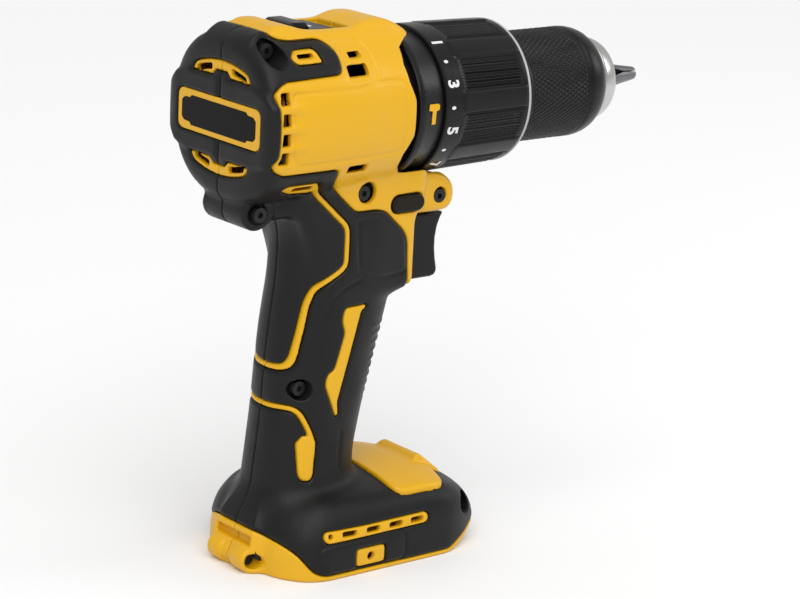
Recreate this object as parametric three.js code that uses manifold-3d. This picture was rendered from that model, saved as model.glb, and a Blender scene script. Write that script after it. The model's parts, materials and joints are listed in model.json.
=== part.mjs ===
// Compact cordless hammer drill, bare tool, as an assembly of separate parts.
// Units are millimetres, +Z is up and +X points the way the bit points.
// Parts are laid out in a head frame: x = 0 at the rear badge, y = 0 on the seam, z = 0 on the drill axis.
// The whole assembly is then lifted so that the origin is the middle of its footprint.

import * as THREE from 'three';
import { mergeVertices } from 'three/addons/utils/BufferGeometryUtils.js';
import Module from 'manifold-3d';

const wasm = await Module();
wasm.setup();

// ---------------------------------------------------------------- driving dimensions

const OVERALL_LENGTH = 196.4;      // rear badge to jaw tips
const AXIS_HEIGHT = 167;           // drill axis above the foot
const GAP = 0.3;                   // clearance between neighbouring parts
const SEAM = 0.15;                 // half of the gap between the clamshell halves
const WALL = 2.4;                  // housing wall
const SKIN = 1.6;                  // thickness of the soft grip moulding

const BARREL_R = 30;               // motor barrel, rear
const BARREL_FRONT_R = 27.6;       // motor barrel, front
const BARREL_FRONT_X = 66;         // front edge of the yellow housing
const TOP_Z = 33;                  // top of the two humps
const THROAT_HALF = 16.5;          // half width of the block above the trigger
const FOOT_HALF = 32;              // half width of the foot
const FOOT_FRONT_X = 111;
const FOOT_ROOF_Z = -155;          // roof of the battery channel
const CHANNEL_HALF = 23.5;         // half width of the battery channel
const CHANNEL_REAR_X = 38;

const MODULE = 0.95;               // gear module
const SUN_TEETH = 12;
const PLANET_TEETH = 12;
const RING_TEETH = 36;
const PRESSURE_ANGLE = THREE.MathUtils.degToRad(25);
const ADDENDUM = 0.85;             // in modules
const DEDENDUM = 1.15;             // in modules
const BACKLASH = 0.12;             // taken off each flank, in modules
const GEAR_CENTRES = MODULE * (SUN_TEETH + PLANET_TEETH) / 2;
const STAGE_1_X = [55.5, 61.5];
const STAGE_2_X = [67, 73.2];
const PLANET_BORE_R = 2.3;
const PLANET_PIN_R = 2;
const PLANET_ANGLES = [90, 210, 330];

const CASE_R = 25.2;               // gear case
const CASE_BORE_R = 21.2;
const RING_OUTER_R = 20.6;
const NECK_R = 17;

const COLLAR_X = [80.6, 124];      // torque collar
const COLLAR_R = 25.6;
const PADDLE_R = 26.2;
const PADDLES = 8;
const MODE_X = [68.6, 80.3];       // mode collar

const SLEEVE_X = [124.4, 170];     // chuck sleeve
const SLEEVE_R = 21;
const NOSE_X = [170.3, 175];
const JAW_TILT = THREE.MathUtils.degToRad(17);
const JAW_R = 3.5;
const JAW_LENGTH = 38;
const JAW_AXIS_TIP_R = 1.6;        // distance of a jaw's own axis from the drill axis at the tips
const JAW_TAIL_R = 12.6;           // the jaw tails are turned down to this radius
const JAW_ANGLES = [90, 210, 330];
const JAW_TRAVEL = 22.2;           // along the tilted jaw axis, for a 13 mm bit

const SCREW_HEAD_R = 2.8;
const SCREW_SHANK_R = 1.4;

// Housing screws: place, depth of the head's seat in y, and radius of the boss round the shank.
const SCREWS = [
  { name: 'screw_rear_upper', x: 9.5, z: 25.2, headY: -12, boss: 4.4 },
  { name: 'screw_rear_lower', x: 9.5, z: -32.6, headY: -12, boss: 4.4 },
  { name: 'screw_throat', x: 53.5, z: -29.2, headY: -14, boss: 3 },
  { name: 'screw_front_block', x: 91.5, z: -35, headY: -10.5, boss: 3.4 },
  { name: 'screw_handle', x: 31, z: -99.5, headY: -10, boss: 3.6 },
  { name: 'screw_foot_front', x: 97, z: -150.6, headY: -21, boss: 3.2 },
  { name: 'screw_foot_rear', x: 16.5, z: -159.5, headY: -10.5, boss: 3.6 },
];
const SCREW_LENGTH = 19;

const BELT_NUT = { x: 51.4, z: -160.7, r: 3, holeR: 1.5, faceY: 31.6 };

// ---------------------------------------------------------------- materials

const paint = (color, roughness, metalness = 0) =>
  new THREE.MeshStandardMaterial({ color, roughness, metalness });

const YELLOW = paint(0xffc21a, 0.38);
const BLACK_RUBBER = paint(0x262629, 0.8);
const BLACK_PLASTIC = paint(0x1c1c1f, 0.45);
const GREY_PLASTIC = paint(0x55575c, 0.6);
const BAR_PLASTIC = paint(0x2a241c, 0.5);
const STEEL = paint(0x8f9296, 0.35, 1);
const DARK_STEEL = paint(0x4c4d50, 0.45, 1);
const SILVER = paint(0xc9cbcd, 0.25, 1);
const COPPER = paint(0xb8682e, 0.35, 1);
const BRASS = paint(0xc9a24a, 0.3, 1);
const BOARD = paint(0x1f5a36, 0.5);
const LENS = paint(0xe8eef2, 0.1);

// ---------------------------------------------------------------- solids

function signedVolume(position, index) {
  const a = new THREE.Vector3();
  const b = new THREE.Vector3();
  const c = new THREE.Vector3();
  let total = 0;
  for (let i = 0; i < index.length; i += 3) {
    a.fromBufferAttribute(position, index[i]);
    b.fromBufferAttribute(position, index[i + 1]);
    c.fromBufferAttribute(position, index[i + 2]);
    total += a.dot(b.cross(c)) / 6;
  }
  return total;
}

// Turns a closed three.js geometry into a manifold solid with its faces pointing out.
function solid(geometry) {
  geometry.deleteAttribute('normal');
  geometry.deleteAttribute('uv');
  const merged = mergeVertices(geometry, 1e-4);
  const index = Uint32Array.from(merged.index.array);
  if (signedVolume(merged.attributes.position, index) < 0) index.reverse();
  const kept = [];
  for (let i = 0; i < index.length; i += 3) {
    const [a, b, c] = index.subarray(i, i + 3);
    if (a !== b && b !== c && c !== a) kept.push(a, b, c);
  }
  const vertProperties = Float32Array.from(merged.attributes.position.array);
  return new wasm.Manifold(new wasm.Mesh({ numProp: 3, vertProperties, triVerts: Uint32Array.from(kept) }));
}

const join = (first, ...rest) => rest.reduce((whole, part) => whole.add(part), first);
const cut = (first, ...rest) => rest.reduce((whole, part) => whole.subtract(part), first);

// A ring or disc turned about the X axis, from [x, r] points that go once round its section.
function turned(points, segments = 28) {
  const closed = [...points, points[0]];
  const geometry = new THREE.LatheGeometry(closed.map(([x, r]) => new THREE.Vector2(r, x)), segments);
  geometry.rotateZ(-Math.PI / 2);
  return solid(geometry);
}

const disc = (x0, x1, r, segments = 20) => turned([[x0, 0], [x0, r], [x1, r], [x1, 0]], segments);
const ring = (x0, x1, inner, outer, segments = 28) =>
  turned([[x0, inner], [x0, outer], [x1, outer], [x1, inner]], segments);

function extruded(shape, depth) {
  return new THREE.ExtrudeGeometry(shape, { depth, bevelEnabled: false, curveSegments: 6 });
}

// A side outline in x and z, extruded across the seam from y0 to y1.
function plateY(outline, y0, y1) {
  const shape = outline instanceof THREE.Shape ? outline : new THREE.Shape(outline.map(([x, z]) => new THREE.Vector2(x, z)));
  const geometry = extruded(shape, y1 - y0);
  geometry.rotateX(Math.PI / 2);
  geometry.translate(0, y1, 0);
  return solid(geometry);
}

// An end-on outline in y and z, extruded along the drill axis from x0 to x1.
function plateX(outline, x0, x1) {
  const shape = outline instanceof THREE.Shape ? outline : new THREE.Shape(outline);
  const geometry = extruded(shape, x1 - x0);
  const turn = new THREE.Matrix4().makeBasis(
    new THREE.Vector3(0, 1, 0), new THREE.Vector3(0, 0, 1), new THREE.Vector3(1, 0, 0));
  geometry.applyMatrix4(turn);
  geometry.translate(x0, 0, 0);
  return solid(geometry);
}

// A plan outline in x and y, extruded upwards from z0 to z1.
function plateZ(outline, z0, z1) {
  const geometry = extruded(new THREE.Shape(outline.map(([x, y]) => new THREE.Vector2(x, y))), z1 - z0);
  geometry.translate(0, 0, z0);
  return solid(geometry);
}

function block([x0, x1], [y0, y1], [z0, z1]) {
  const geometry = new THREE.BoxGeometry(x1 - x0, y1 - y0, z1 - z0);
  geometry.translate((x0 + x1) / 2, (y0 + y1) / 2, (z0 + z1) / 2);
  return solid(geometry);
}

function rodY(x, z, r, y0, y1, segments = 12) {
  const geometry = new THREE.CylinderGeometry(r, r, y1 - y0, segments);
  geometry.translate(x, (y0 + y1) / 2, z);
  return solid(geometry);
}

function rodX(y, z, r, x0, x1, segments = 16) {
  const geometry = new THREE.CylinderGeometry(r, r, x1 - x0, segments);
  geometry.rotateZ(-Math.PI / 2);
  geometry.translate((x0 + x1) / 2, y, z);
  return solid(geometry);
}

const aboutAxis = (part, degrees) => part.rotate([degrees, 0, 0]);
const mirrored = (outline) => [...outline, ...outline.map(([x, y]) => [x, -y]).reverse()];

function spring(start, end, r, wire, turns) {
  const path = new THREE.Curve();
  path.getPoint = (t) => {
    const angle = t * turns * 2 * Math.PI;
    return new THREE.Vector3(start + (end - start) * t, r * Math.cos(angle), r * Math.sin(angle));
  };
  const section = new THREE.Shape();
  section.absarc(0, 0, wire / 2, 0, 2 * Math.PI);
  const options = { steps: Math.round(turns * 9), extrudePath: path, curveSegments: 2, bevelEnabled: false };
  return solid(new THREE.ExtrudeGeometry(section, options));
}

// ---------------------------------------------------------------- gears

const involute = (angle) => Math.tan(angle) - angle;

// Half the angle that a tooth spans at radius r, with grow added to each flank in modules.
function toothHalfAngle(teeth, r, grow) {
  const pitchR = MODULE * teeth / 2;
  const baseR = pitchR * Math.cos(PRESSURE_ANGLE);
  const here = Math.acos(Math.min(1, baseR / Math.max(r, baseR)));
  const atPitch = Math.PI / (2 * teeth) + grow * MODULE / pitchR;
  return atPitch + involute(PRESSURE_ANGLE) - involute(here);
}

function gearOutline(teeth, inner, outer, grow, phase) {
  const points = [];
  for (let k = 0; k < teeth; k++) {
    const middle = phase + k * 2 * Math.PI / teeth;
    const root = toothHalfAngle(teeth, inner, grow);
    const tip = toothHalfAngle(teeth, outer, grow);
    for (const [r, turn] of [[inner, -root], [outer, -tip], [outer, tip], [inner, root]]) {
      points.push(new THREE.Vector2(r * Math.cos(middle + turn), r * Math.sin(middle + turn)));
    }
  }
  return points;
}

function spurGear(teeth, [x0, x1], phase, boreR = 0) {
  const pitchR = MODULE * teeth / 2;
  const outline = gearOutline(teeth, pitchR - DEDENDUM * MODULE, pitchR + ADDENDUM * MODULE, -BACKLASH, phase);
  const shape = new THREE.Shape(outline);
  if (boreR > 0) shape.holes.push(new THREE.Path().absarc(0, 0, boreR, 0, 2 * Math.PI, true));
  return plateX(shape, x0, x1);
}

function ringGear([x0, x1]) {
  const pitchR = MODULE * RING_TEETH / 2;
  const phase = Math.PI / RING_TEETH;
  const teeth = gearOutline(RING_TEETH, pitchR - ADDENDUM * MODULE, pitchR + DEDENDUM * MODULE, BACKLASH, phase);
  const hole = plateX(new THREE.Shape(teeth), x0 - 1, x1 + 1);
  return cut(disc(x0, x1, RING_OUTER_R, 24), hole);
}

function planet(degrees, span) {
  const angle = THREE.MathUtils.degToRad(degrees);
  const gear = spurGear(PLANET_TEETH, span, Math.PI / PLANET_TEETH, PLANET_BORE_R);
  return gear.translate([0, GEAR_CENTRES * Math.cos(angle), GEAR_CENTRES * Math.sin(angle)]);
}

function planetPins([x0, x1]) {
  return PLANET_ANGLES.map((degrees) => {
    const angle = THREE.MathUtils.degToRad(degrees);
    return rodX(GEAR_CENTRES * Math.cos(angle), GEAR_CENTRES * Math.sin(angle), PLANET_PIN_R, x0, x1, 12);
  });
}

// ---------------------------------------------------------------- housing

function barrel(grow) {
  const rear = 2.3 - grow;
  const front = BARREL_FRONT_X + Math.min(grow, 0);
  const profile = [[rear, 0], [rear, 24 + grow], [5, 28 + grow], [9, BARREL_R + grow], [30, 29.4 + grow]];
  return turned([...profile, [55, 27.9 + grow], [front, BARREL_FRONT_R + grow], [front, 0]], 28);
}

function hump(grow) {
  const top = TOP_Z + grow;
  const front = 72 + Math.min(grow, 0);
  const outline = [[6 - grow, 20], [8, 30 + grow], [14, top - 0.5], [22, top], [50, top], [57, top - 0.6]];
  return plateY([...outline, [66, 29], [front, 26], [front, 20]], -13 - grow, 13 + grow);
}

// The block above the trigger, which joins the barrel to the handle.
function throat(grow) {
  const front = 79.5 + grow;
  const outline = [[20, -18], [86, -18], [86, -30], [front, -41 + grow], [front, -66 - grow], [72, -67 - grow]];
  return plateY([...outline, [40, -67], [28 - grow, -40], [24 - grow, -30]], -THROAT_HALF - grow, THROAT_HALF + grow);
}

// The throat without the recess that the grip's soft panel fills.
function yellowThroat(grow) {
  const guard = block([75 - grow, 100], [-30, 30], [-80, 0]);
  const shoulder = block([10, 100], [-30, 30], [-36 - grow, 0]);
  return join(throat(grow - SKIN), throat(grow).intersect(join(guard, shoulder)));
}

function frontBlock(grow) {
  const outline = [[60, -27.5], [90, -27.5], [96.3 + grow, -30.5], [96.3 + grow, -37], [93, -40.6 - grow]];
  return plateY([...outline, [60, -40.6 - grow]], -13.5 - grow, 13.5 + grow);
}

function rearWeb(grow) {
  const outline = [[7 - grow, -20], [7 - grow, -34], [26, -37 - grow], [44, -30], [44, -20]];
  return join(
    plateY(outline, -12 - grow, 12 + grow),
    rodY(9.5, -32.6, 6 + grow, -15 - grow, 15 + grow),
    rodY(9.5, 25.2, 6.2 + grow, -15 - grow, 15 + grow));
}

// Sections of the handle: height, rear x, front x and half width.
const HANDLE_SECTIONS = [
  [-148, 16.5, 70, 21], [-138, 18.5, 65.5, 18.2], [-126, 21.5, 64.5, 17.2], [-110, 23.2, 67.5, 17.3],
  [-91, 24.3, 71.7, 17.5], [-78, 25.6, 76, 17.5], [-60, 28, 79, 17], [-40, 28.6, 79, 16.5], [-28, 24, 79, 16.5],
];
const HANDLE_SQUARENESS = 2.3;

function handle(grow) {
  const levels = HANDLE_SECTIONS.length;
  const geometry = new THREE.CylinderGeometry(1, 1, levels - 1, 20, levels - 1);
  const position = geometry.attributes.position;
  for (let i = 0; i < position.count; i++) {
    const level = Math.round(position.getY(i) + (levels - 1) / 2);
    const [z, rear, front, half] = HANDLE_SECTIONS[level];
    const cx = position.getX(i);
    const cy = position.getZ(i);
    const bulge = (v) => Math.sign(v) * Math.abs(v) ** (2 / HANDLE_SQUARENESS);
    position.setXYZ(i, (rear + front) / 2 + ((front - rear) / 2 + grow) * bulge(cx), (half + grow) * bulge(cy), z);
  }
  return solid(geometry);
}

const footTop = (x, y) => {
  const crown = -136.4 - 4.4 * (y / FOOT_HALF) ** 2;
  const nose = x > 78 ? 6.2 * ((x - 78) / 22) ** 2 : 0;
  const tail = x < 40 ? 13 * ((40 - x) / 28) ** 1.6 : 0;
  return crown - nose - tail;
};

// A slab over the foot's plan whose top follows the crown, raised by upper, above a floor function.
function crownedSlab(upper, floor, [x0, x1], steps) {
  const geometry = new THREE.BoxGeometry(x1 - x0, 80, 1, steps, 4, 1);
  geometry.translate((x0 + x1) / 2, 0, 0);
  const position = geometry.attributes.position;
  for (let i = 0; i < position.count; i++) {
    const top = footTop(position.getX(i), position.getY(i));
    position.setZ(i, position.getZ(i) > 0 ? top + upper : floor(top));
  }
  return solid(geometry);
}

// The foot's body: its plan, crowned on top and falling away to the nose and the tail.
function foot(grow, lower) {
  const half = FOOT_HALF + grow;
  const right = [
    [12 - grow, 13], [17, 17 + grow], [24, 24 + grow], [35, half - 1], [42, half], [86, half],
    [93, half - 3], [105, 24 + grow], [FOOT_FRONT_X + grow, 15],
  ];
  const slab = crownedSlab(-lower, () => -AXIS_HEIGHT, [8, 114], 8);
  return slab.intersect(plateZ(mirrored(right), -AXIS_HEIGHT, -120));
}

// Everything that stands below the nose's chamfer, taken off the foot.
const noseChamfer = () => plateY([[90, -AXIS_HEIGHT - 1], [115, -AXIS_HEIGHT - 1], [115, -154], [111, -156]], -40, 40);

function outerYellow(grow) {
  const beltPads = block([45, 58.1], [-33, 33], [-164.6, -157.1]);
  const footCore = foot(grow - SKIN, SKIN - grow + 1.2);
  const baseRim = foot(grow, 0).intersect(block([0, 120], [-40, 40], [-AXIS_HEIGHT, -165.2 + grow]));
  const tail = foot(grow, 0).intersect(block([0, 27 + grow], [-40, 40], [-AXIS_HEIGHT, -151 + grow]));
  const upper = join(barrel(grow), hump(grow), yellowThroat(grow), frontBlock(grow));
  return join(upper, handle(grow - SKIN), footCore, baseRim, tail, beltPads);
}

function cavity() {
  const motorBore = turned([[5, 0], [5, 22], [9, 26.6], [40, 26.6], [52, 25.6], [80, 25.6], [80, 0]], 28);
  const grip = handle(-SKIN - WALL);
  const footRoom = foot(-SKIN - WALL - 0.4, SKIN + WALL + 1).intersect(block([19, 105], [-27, 27], [FOOT_ROOF_Z + 2.5, -130]));
  const throatHalf = THROAT_HALF - SKIN - WALL;
  const throatRoom = plateY([[32, -20], [72.3, -20], [72.3, -64.5], [34, -70]], -throatHalf, throatHalf);
  return join(motorBore, grip.intersect(block([0, 72], [-20, 20], [-150, -26])), footRoom, throatRoom);
}

// Room that other parts need in the housing.
function housingCuts() {
  const triggerSlot = block([72.2, 100], [-8.8, 8.8], [-68.5, -41]);
  const channel = block([CHANNEL_REAR_X, 125], [-CHANNEL_HALF, CHANNEL_HALF], [-AXIS_HEIGHT - 1, FOOT_ROOF_Z]);
  const terminalHole = block([43.5, 66.5], [-17.5, 17.5], [-160, -146.6]);
  const selectorSlot = block([22.2, 48.6], [-9.3, 9.3], [28.1, 40]);
  const linkRoom = block([36.5, 50], [-5, 5], [18, 30]);
  const barSlot = roundedBar(73.7, -34.9, 8, 3.5, -30, 30);
  const collarRoom = disc(BARREL_FRONT_X + GAP, 130, 27.4, 28);
  const beltNutSeats = rodY(BELT_NUT.x, BELT_NUT.z, BELT_NUT.r + GAP, -BELT_NUT.faceY, BELT_NUT.faceY, 10);
  const beltHoles = rodY(BELT_NUT.x, BELT_NUT.z, BELT_NUT.holeR, -40, 40, 10);
  return [
    triggerSlot, channel, terminalHole, selectorSlot, linkRoom, barSlot, collarRoom, beltNutSeats, beltHoles,
    noseChamfer(),
  ];
}

const ledRoom = () => block([78, 103], [-9, 9], [-147, -130]);

// Openings in each side wall: rear x, front x, height and half height.
const SIDE_VENTS = [[10.5, 14.5, 4.1, 2], [10.5, 14.5, -2.8, 2], [34, 42, 18.5, 1.9], [34, 42, -15.5, 1.4]];

function sideVents(side) {
  const span = side < 0 ? [-40, -10] : [10, 40];
  return SIDE_VENTS.map(([x0, x1, z, half]) => block([x0, x1], span, [z - half, z + half]));
}

// Rails that hold the battery inside the channel.
function batteryRail(side) {
  const span = side < 0 ? [-CHANNEL_HALF - 1, -CHANNEL_HALF + 2.5] : [CHANNEL_HALF - 2.5, CHANNEL_HALF + 1];
  return block([46, 88], span, [-163.4, -161]);
}

function screwBosses(grow) {
  return SCREWS.map(({ x, z, boss }) => rodY(x, z, boss + grow, -10, 10, 10));
}

function screwHoles() {
  return SCREWS.flatMap(({ x, z, headY }) => [
    rodY(x, z, SCREW_SHANK_R + 0.3, headY - 1, headY + SCREW_LENGTH + 1, 8),
    rodY(x, z, SCREW_HEAD_R + 0.4, -45, headY, 10),
  ]);
}

const halfSpace = (side) => block([-10, 210], side < 0 ? [-60, -SEAM] : [SEAM, 60], [-180, 60]);

function housingHalf(side) {
  const half = halfSpace(side);
  const shell = cut(outerYellow(0).intersect(half), cavity().intersect(half), ...housingCuts(), ledRoom());
  const bosses = screwBosses(0).map((boss) => boss.intersect(half));
  const room = [disc(5, 80, 25.5, 28), block([30, 73], [-11, 11], [-67, -40])];
  const fittedBosses = cut(join(...bosses), ...room);
  const whole = join(shell, fittedBosses.intersect(outerYellow(-0.5)), batteryRail(side).intersect(half));
  return largestBody(cut(whole, ...screwHoles(), ...sideVents(side), coverRecess()));
}

function largestBody(part) {
  return part.decompose().reduce((best, body) => (body.volume() > best.volume() ? body : best));
}

// The soft moulding: the skin of the handle and foot, the rear bumper and the band that joins them.
function overmouldHalf(side) {
  const gripPanel = throat(0).intersect(block([10, 74.7], [-30, 30], [-68, -36.3]));
  const skin = join(handle(0), foot(0, 0), rearWeb(0), gripPanel);
  const bumperPlan = mirrored([[0, 27], [2.5, 31], [6, 32.3], [14, 32.3]]);
  const bumper = plateZ(bumperPlan, -15, 14.5);
  const band = barrel(SKIN).intersect(join(
    block([3, 30], [-40, 40], [-33, -15]),
    block([3, 28], [-40, 40], [14, 26]),
    block([3, 12], [-40, 40], [-26, 26])));
  const whole = cut(join(skin, bumper, band), outerYellow(GAP), badgeRecess(), coverRecess(), ...housingCuts());
  return largestBody(cut(whole.intersect(halfSpace(side)), ...screwHoles(), cavity(), ...sideVents(side)));
}

// ---------------------------------------------------------------- trim

const BADGE = { halfY: 24.4, halfZ: 7.2, corner: 3, depth: 1.9 };

function badgeOutline(grow) {
  const y = BADGE.halfY + grow;
  const z = BADGE.halfZ + grow;
  const c = BADGE.corner;
  return [[-y, -z + c], [-y + c, -z], [y - c, -z], [y, -z + c], [y, z - c], [y - c, z], [-y + c, z], [-y, z - c]]
    .map(([a, b]) => new THREE.Vector2(a, b));
}

const rearBadge = () => plateX(badgeOutline(0), 0, BADGE.depth);
const badgeRecess = () => plateX(badgeOutline(GAP), -1, BADGE.depth + GAP);

// The crowned cover on the foot, with the raised lamp housing at its front.
function coverSlab(lower, upper, grow) {
  const side = 29.4 + grow;
  const plan = mirrored([
    [58 - grow, 0.5], [58 - grow, 27 + grow], [64, side], [86, side], [98 + grow, 19 + grow], [101 + grow, 0.5],
  ]);
  return crownedSlab(upper, (top) => top + lower, [50, 110], 5).intersect(plateZ(plan, -160, -120));
}

const coverRecess = () => join(coverSlab(-2.2, 12, GAP), wedge(GAP));

function wedge(grow) {
  const outline = [[72 - grow, -140], [72 - grow, -137], [90, -134.6 + grow], [98.6 + grow, -142.2], [98.6 + grow, -146 - grow], [79, -144]];
  return plateY(outline, -9.6 - grow, 9.6 + grow);
}

function footCover() {
  const body = join(coverSlab(-1.6, 0.3, 0), wedge(0));
  const lampRoom = block([80, 96.5], [-7.2, 7.2], [-150, -139.4]);
  const lensSlot = lensBand(GAP);
  return largestBody(cut(body, handle(GAP), lampRoom, lensSlot));
}

// The lamp's lens, a thin slab let into the sloping front face of the lamp housing.
function lensBand(grow) {
  const outline = [[91, -137.4 - grow], [91 - grow, -135.7 + grow], [97.2 + grow, -141.2 + grow], [97.2 + grow, -142.9 - grow]];
  return plateY(outline, -6 - grow, 6 + grow);
}

const ledLens = () => lensBand(0);
const ledBoard = () => block([81.5, 95.5], [-6.5, 6.5], [-144.4, -142.9]);

function terminalBlock() {
  const body = block([44, 66], [-17, 17], [-159, -147]);
  const slots = CONTACT_Y.map((y) => block([47.6, 62.4], [y - 0.75, y + 0.75], [-160, -151.7]));
  return cut(body, ...slots);
}

const CONTACT_Y = [-10, 0, 10];
const contactBlade = (y) => block([48, 62], [y - 0.4, y + 0.4], [-165, -152]);

function beltNut(side) {
  const depth = BELT_NUT.faceY - GAP;
  const span = side < 0 ? [-depth, -25] : [25, depth];
  return cut(rodY(BELT_NUT.x, BELT_NUT.z, BELT_NUT.r, ...span, 6), rodY(BELT_NUT.x, BELT_NUT.z, BELT_NUT.holeR, -40, 40, 10));
}

function housingScrew({ x, z, headY }) {
  const head = rodY(x, z, SCREW_HEAD_R, headY - 2.4, headY - GAP, 10);
  const recess = rodY(x, z, 1.2, headY - 5, headY - 1.2, 6);
  return cut(join(head, rodY(x, z, SCREW_SHANK_R, headY - 1, headY + SCREW_LENGTH, 8)), recess);
}

// ---------------------------------------------------------------- motor

const STATOR_X = [17, 38];
const STATOR_TEETH = 6;

function statorCore() {
  const yoke = ring(...STATOR_X, 18.6, 22.5, 24);
  const tooth = block(STATOR_X, [-2.8, 2.8], [12.7, 19.4]);
  return join(yoke, ...countedTurns(STATOR_TEETH).map((degrees) => aboutAxis(tooth, degrees)));
}

const countedTurns = (count, offset = 0) => Array.from({ length: count }, (_, k) => offset + k * 360 / count);

function statorWindings() {
  const rear = ring(14.8, 16.6, 13.8, 18.2, 18);
  const front = ring(38.4, 40.2, 13.8, 18.2, 18);
  const bar = block([15.5, 39.5], [-2.4, 2.4], [14.6, 17.6]);
  const bars = countedTurns(STATOR_TEETH, 30).map((degrees) => aboutAxis(bar, degrees));
  return join(rear, front, ...bars);
}

const motorShaft = () => join(disc(7.3, 56, 2.5, 16), spurGear(SUN_TEETH, [STAGE_1_X[0] - 0.5, STAGE_1_X[1] + 0.3], 0));

function coolingFan() {
  const blade = block([41.8, 46.5], [-0.6, 0.6], [7, 18.6]);
  const blades = countedTurns(9).map((degrees) => aboutAxis(blade, degrees));
  return join(ring(41, 42.2, 2.8, 19.6, 18), ring(41, 47, 2.8, 7.5, 12), ...blades);
}

// ---------------------------------------------------------------- gearbox

function gearCase() {
  const outer = [[49, 9.5], [49, CASE_R], [79.8, CASE_R], [79.8, 23.6], [83.5, 23.6], [83.5, NECK_R], [116, NECK_R - 1]];
  const inner = [[116, 13.4], [103.5, 13.4], [103.5, 8.6], [84, 8.6], [80.6, CASE_BORE_R], [54.6, CASE_BORE_R], [54.6, 9.5]];
  const linkSlot = block([40, 79.6], [-3.6, 3.6], [20.7, 30]);
  return cut(turned([...outer, ...inner], 28), linkSlot);
}

function carrier1() {
  const plate = disc(62.6, 65.4, 15.2, 24);
  const sun = spurGear(SUN_TEETH, [65, STAGE_2_X[1]], 0);
  return join(plate, sun, ...planetPins([STAGE_1_X[0] + 0.3, 63]));
}

function outputCarrier() {
  const plate = ring(74, 77.6, 5.4, 15, 24);
  return join(plate, ...planetPins([STAGE_2_X[0] + 0.3, 75]));
}

function outputSpindle() {
  const profile = [[73.7, 0], [73.7, 5.1], [78, 5.1], [78, 8.2], [103.2, 8.2], [103.2, 6.2], [140.5, 6.2], [140.5, 0]];
  return cut(turned(profile, 20), disc(126, 150, 2.9, 12));
}

const clutchPlate = () => ring(85, 87.6, NECK_R + 0.5, 22.6, 20);
const clutchSpring = () => spring(89.2, 101.8, 19.6, 1.9, 4.5);

// The gear selector: a ridged button on top and the link that moves the second ring gear.
function speedSelector() {
  const plate = block([22.7, 42], [-8.9, 8.9], [28.5, 30.2]);
  const ridge = plateY([[23.4, 30], [24.2, TOP_Z - 0.4], [30.5, TOP_Z - 0.4], [32.4, 30]], -8.4, 8.4);
  const riser = block([38.8, 41.4], [-3, 3], [22.5, 29]);
  const link = block([38.8, 69.6], [-3, 3], [22.5, 24.7]);
  const fork = block([67.2, 69.6], [-3, 3], [20.9, 23]);
  return join(plate, ridge, riser, link, fork);
}

// ---------------------------------------------------------------- collars

function modeCollar() {
  const [rear, front] = MODE_X;
  return turned([[rear, 25.6], [rear, 26.8], [rear + 6, 27.1], [front, 26.9], [front, 25.6]], 32);
}

function torqueCollar() {
  const [rear, front] = COLLAR_X;
  const section = [[rear, 24.2], [rear, COLLAR_R], [front - 1.4, COLLAR_R], [front, COLLAR_R - 1.6], [front, 19], [front - 3, 19], [front - 3, 23]];
  const paddles = ring(88, front - 1.2, 24.9, PADDLE_R, 32);
  const wide = 0.52 * 360 / PADDLES;
  const reach = 40;
  const edge = reach * Math.tan(THREE.MathUtils.degToRad(wide / 2));
  const sector = plateX([new THREE.Vector2(0, 0), new THREE.Vector2(reach, -edge), new THREE.Vector2(reach, edge)], 80, 130);
  const sectors = countedTurns(PADDLES, 5.6).map((degrees) => aboutAxis(sector, degrees));
  return join(turned(section, 32), paddles.intersect(join(...sectors)));
}

// ---------------------------------------------------------------- chuck

const jawAxisRadius = (x) => JAW_AXIS_TIP_R + (OVERALL_LENGTH - x) * Math.tan(JAW_TILT);

// A rod along a jaw's tilted axis, for the jaw in the upper position, between two x values.
function jawRod(r, x0, x1, segments) {
  const length = (x1 - x0) / Math.cos(JAW_TILT);
  const geometry = new THREE.CylinderGeometry(r, r, length, segments);
  geometry.rotateZ(-Math.PI / 2);
  geometry.rotateY(JAW_TILT);
  const middle = (x0 + x1) / 2;
  geometry.translate(middle, 0, jawAxisRadius(middle));
  return solid(geometry);
}

function jaw(degrees) {
  const tail = OVERALL_LENGTH - JAW_LENGTH * Math.cos(JAW_TILT);
  const wedgeHalf = 40 * Math.tan(Math.PI / 3);
  const sector = plateX([new THREE.Vector2(0, 0.3), new THREE.Vector2(wedgeHalf, 40.3), new THREE.Vector2(-wedgeHalf, 40.3)], 140, OVERALL_LENGTH);
  const cone = turned([[150, 0], [150, JAW_TAIL_R], [171, JAW_TAIL_R], [175, 5.9], [OVERALL_LENGTH, 2.5], [OVERALL_LENGTH, 0]], 18);
  const upper = jawRod(JAW_R, tail, OVERALL_LENGTH + 3, 12).intersect(sector).intersect(cone);
  return aboutAxis(upper, degrees - 90);
}

function jawBores(r) {
  return JAW_ANGLES.map((degrees) => aboutAxis(jawRod(r, 120, 200, 10), degrees - 90));
}

function chuckBody() {
  const profile = [[127, 0], [127, 18.6], [157, 18.6], [157, 16.2], [164, 16.2], [164, 17], [168, 14.6], [169.9, 14.6], [169.9, 0]];
  const spindleBore = disc(120, 141.2, 6.6, 16);
  const bitBore = disc(141, 180, 6.8, 16);
  return cut(turned(profile, 24), spindleBore, bitBore, ...jawBores(JAW_R + 0.5));
}

function chuckSleeve() {
  const [rear, front] = SLEEVE_X;
  const outer = [[rear, 20], [rear + 0.8, SLEEVE_R], [159, SLEEVE_R], [163.5, 20.3], [167.5, 18.2], [front, 16]];
  const inner = [[front, 14.9], [167, 17.6], [163.6, 19.3], [126.8, 19.3], [126.8, 12], [rear, 12]];
  return turned([...outer, ...inner], 28);
}

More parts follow.
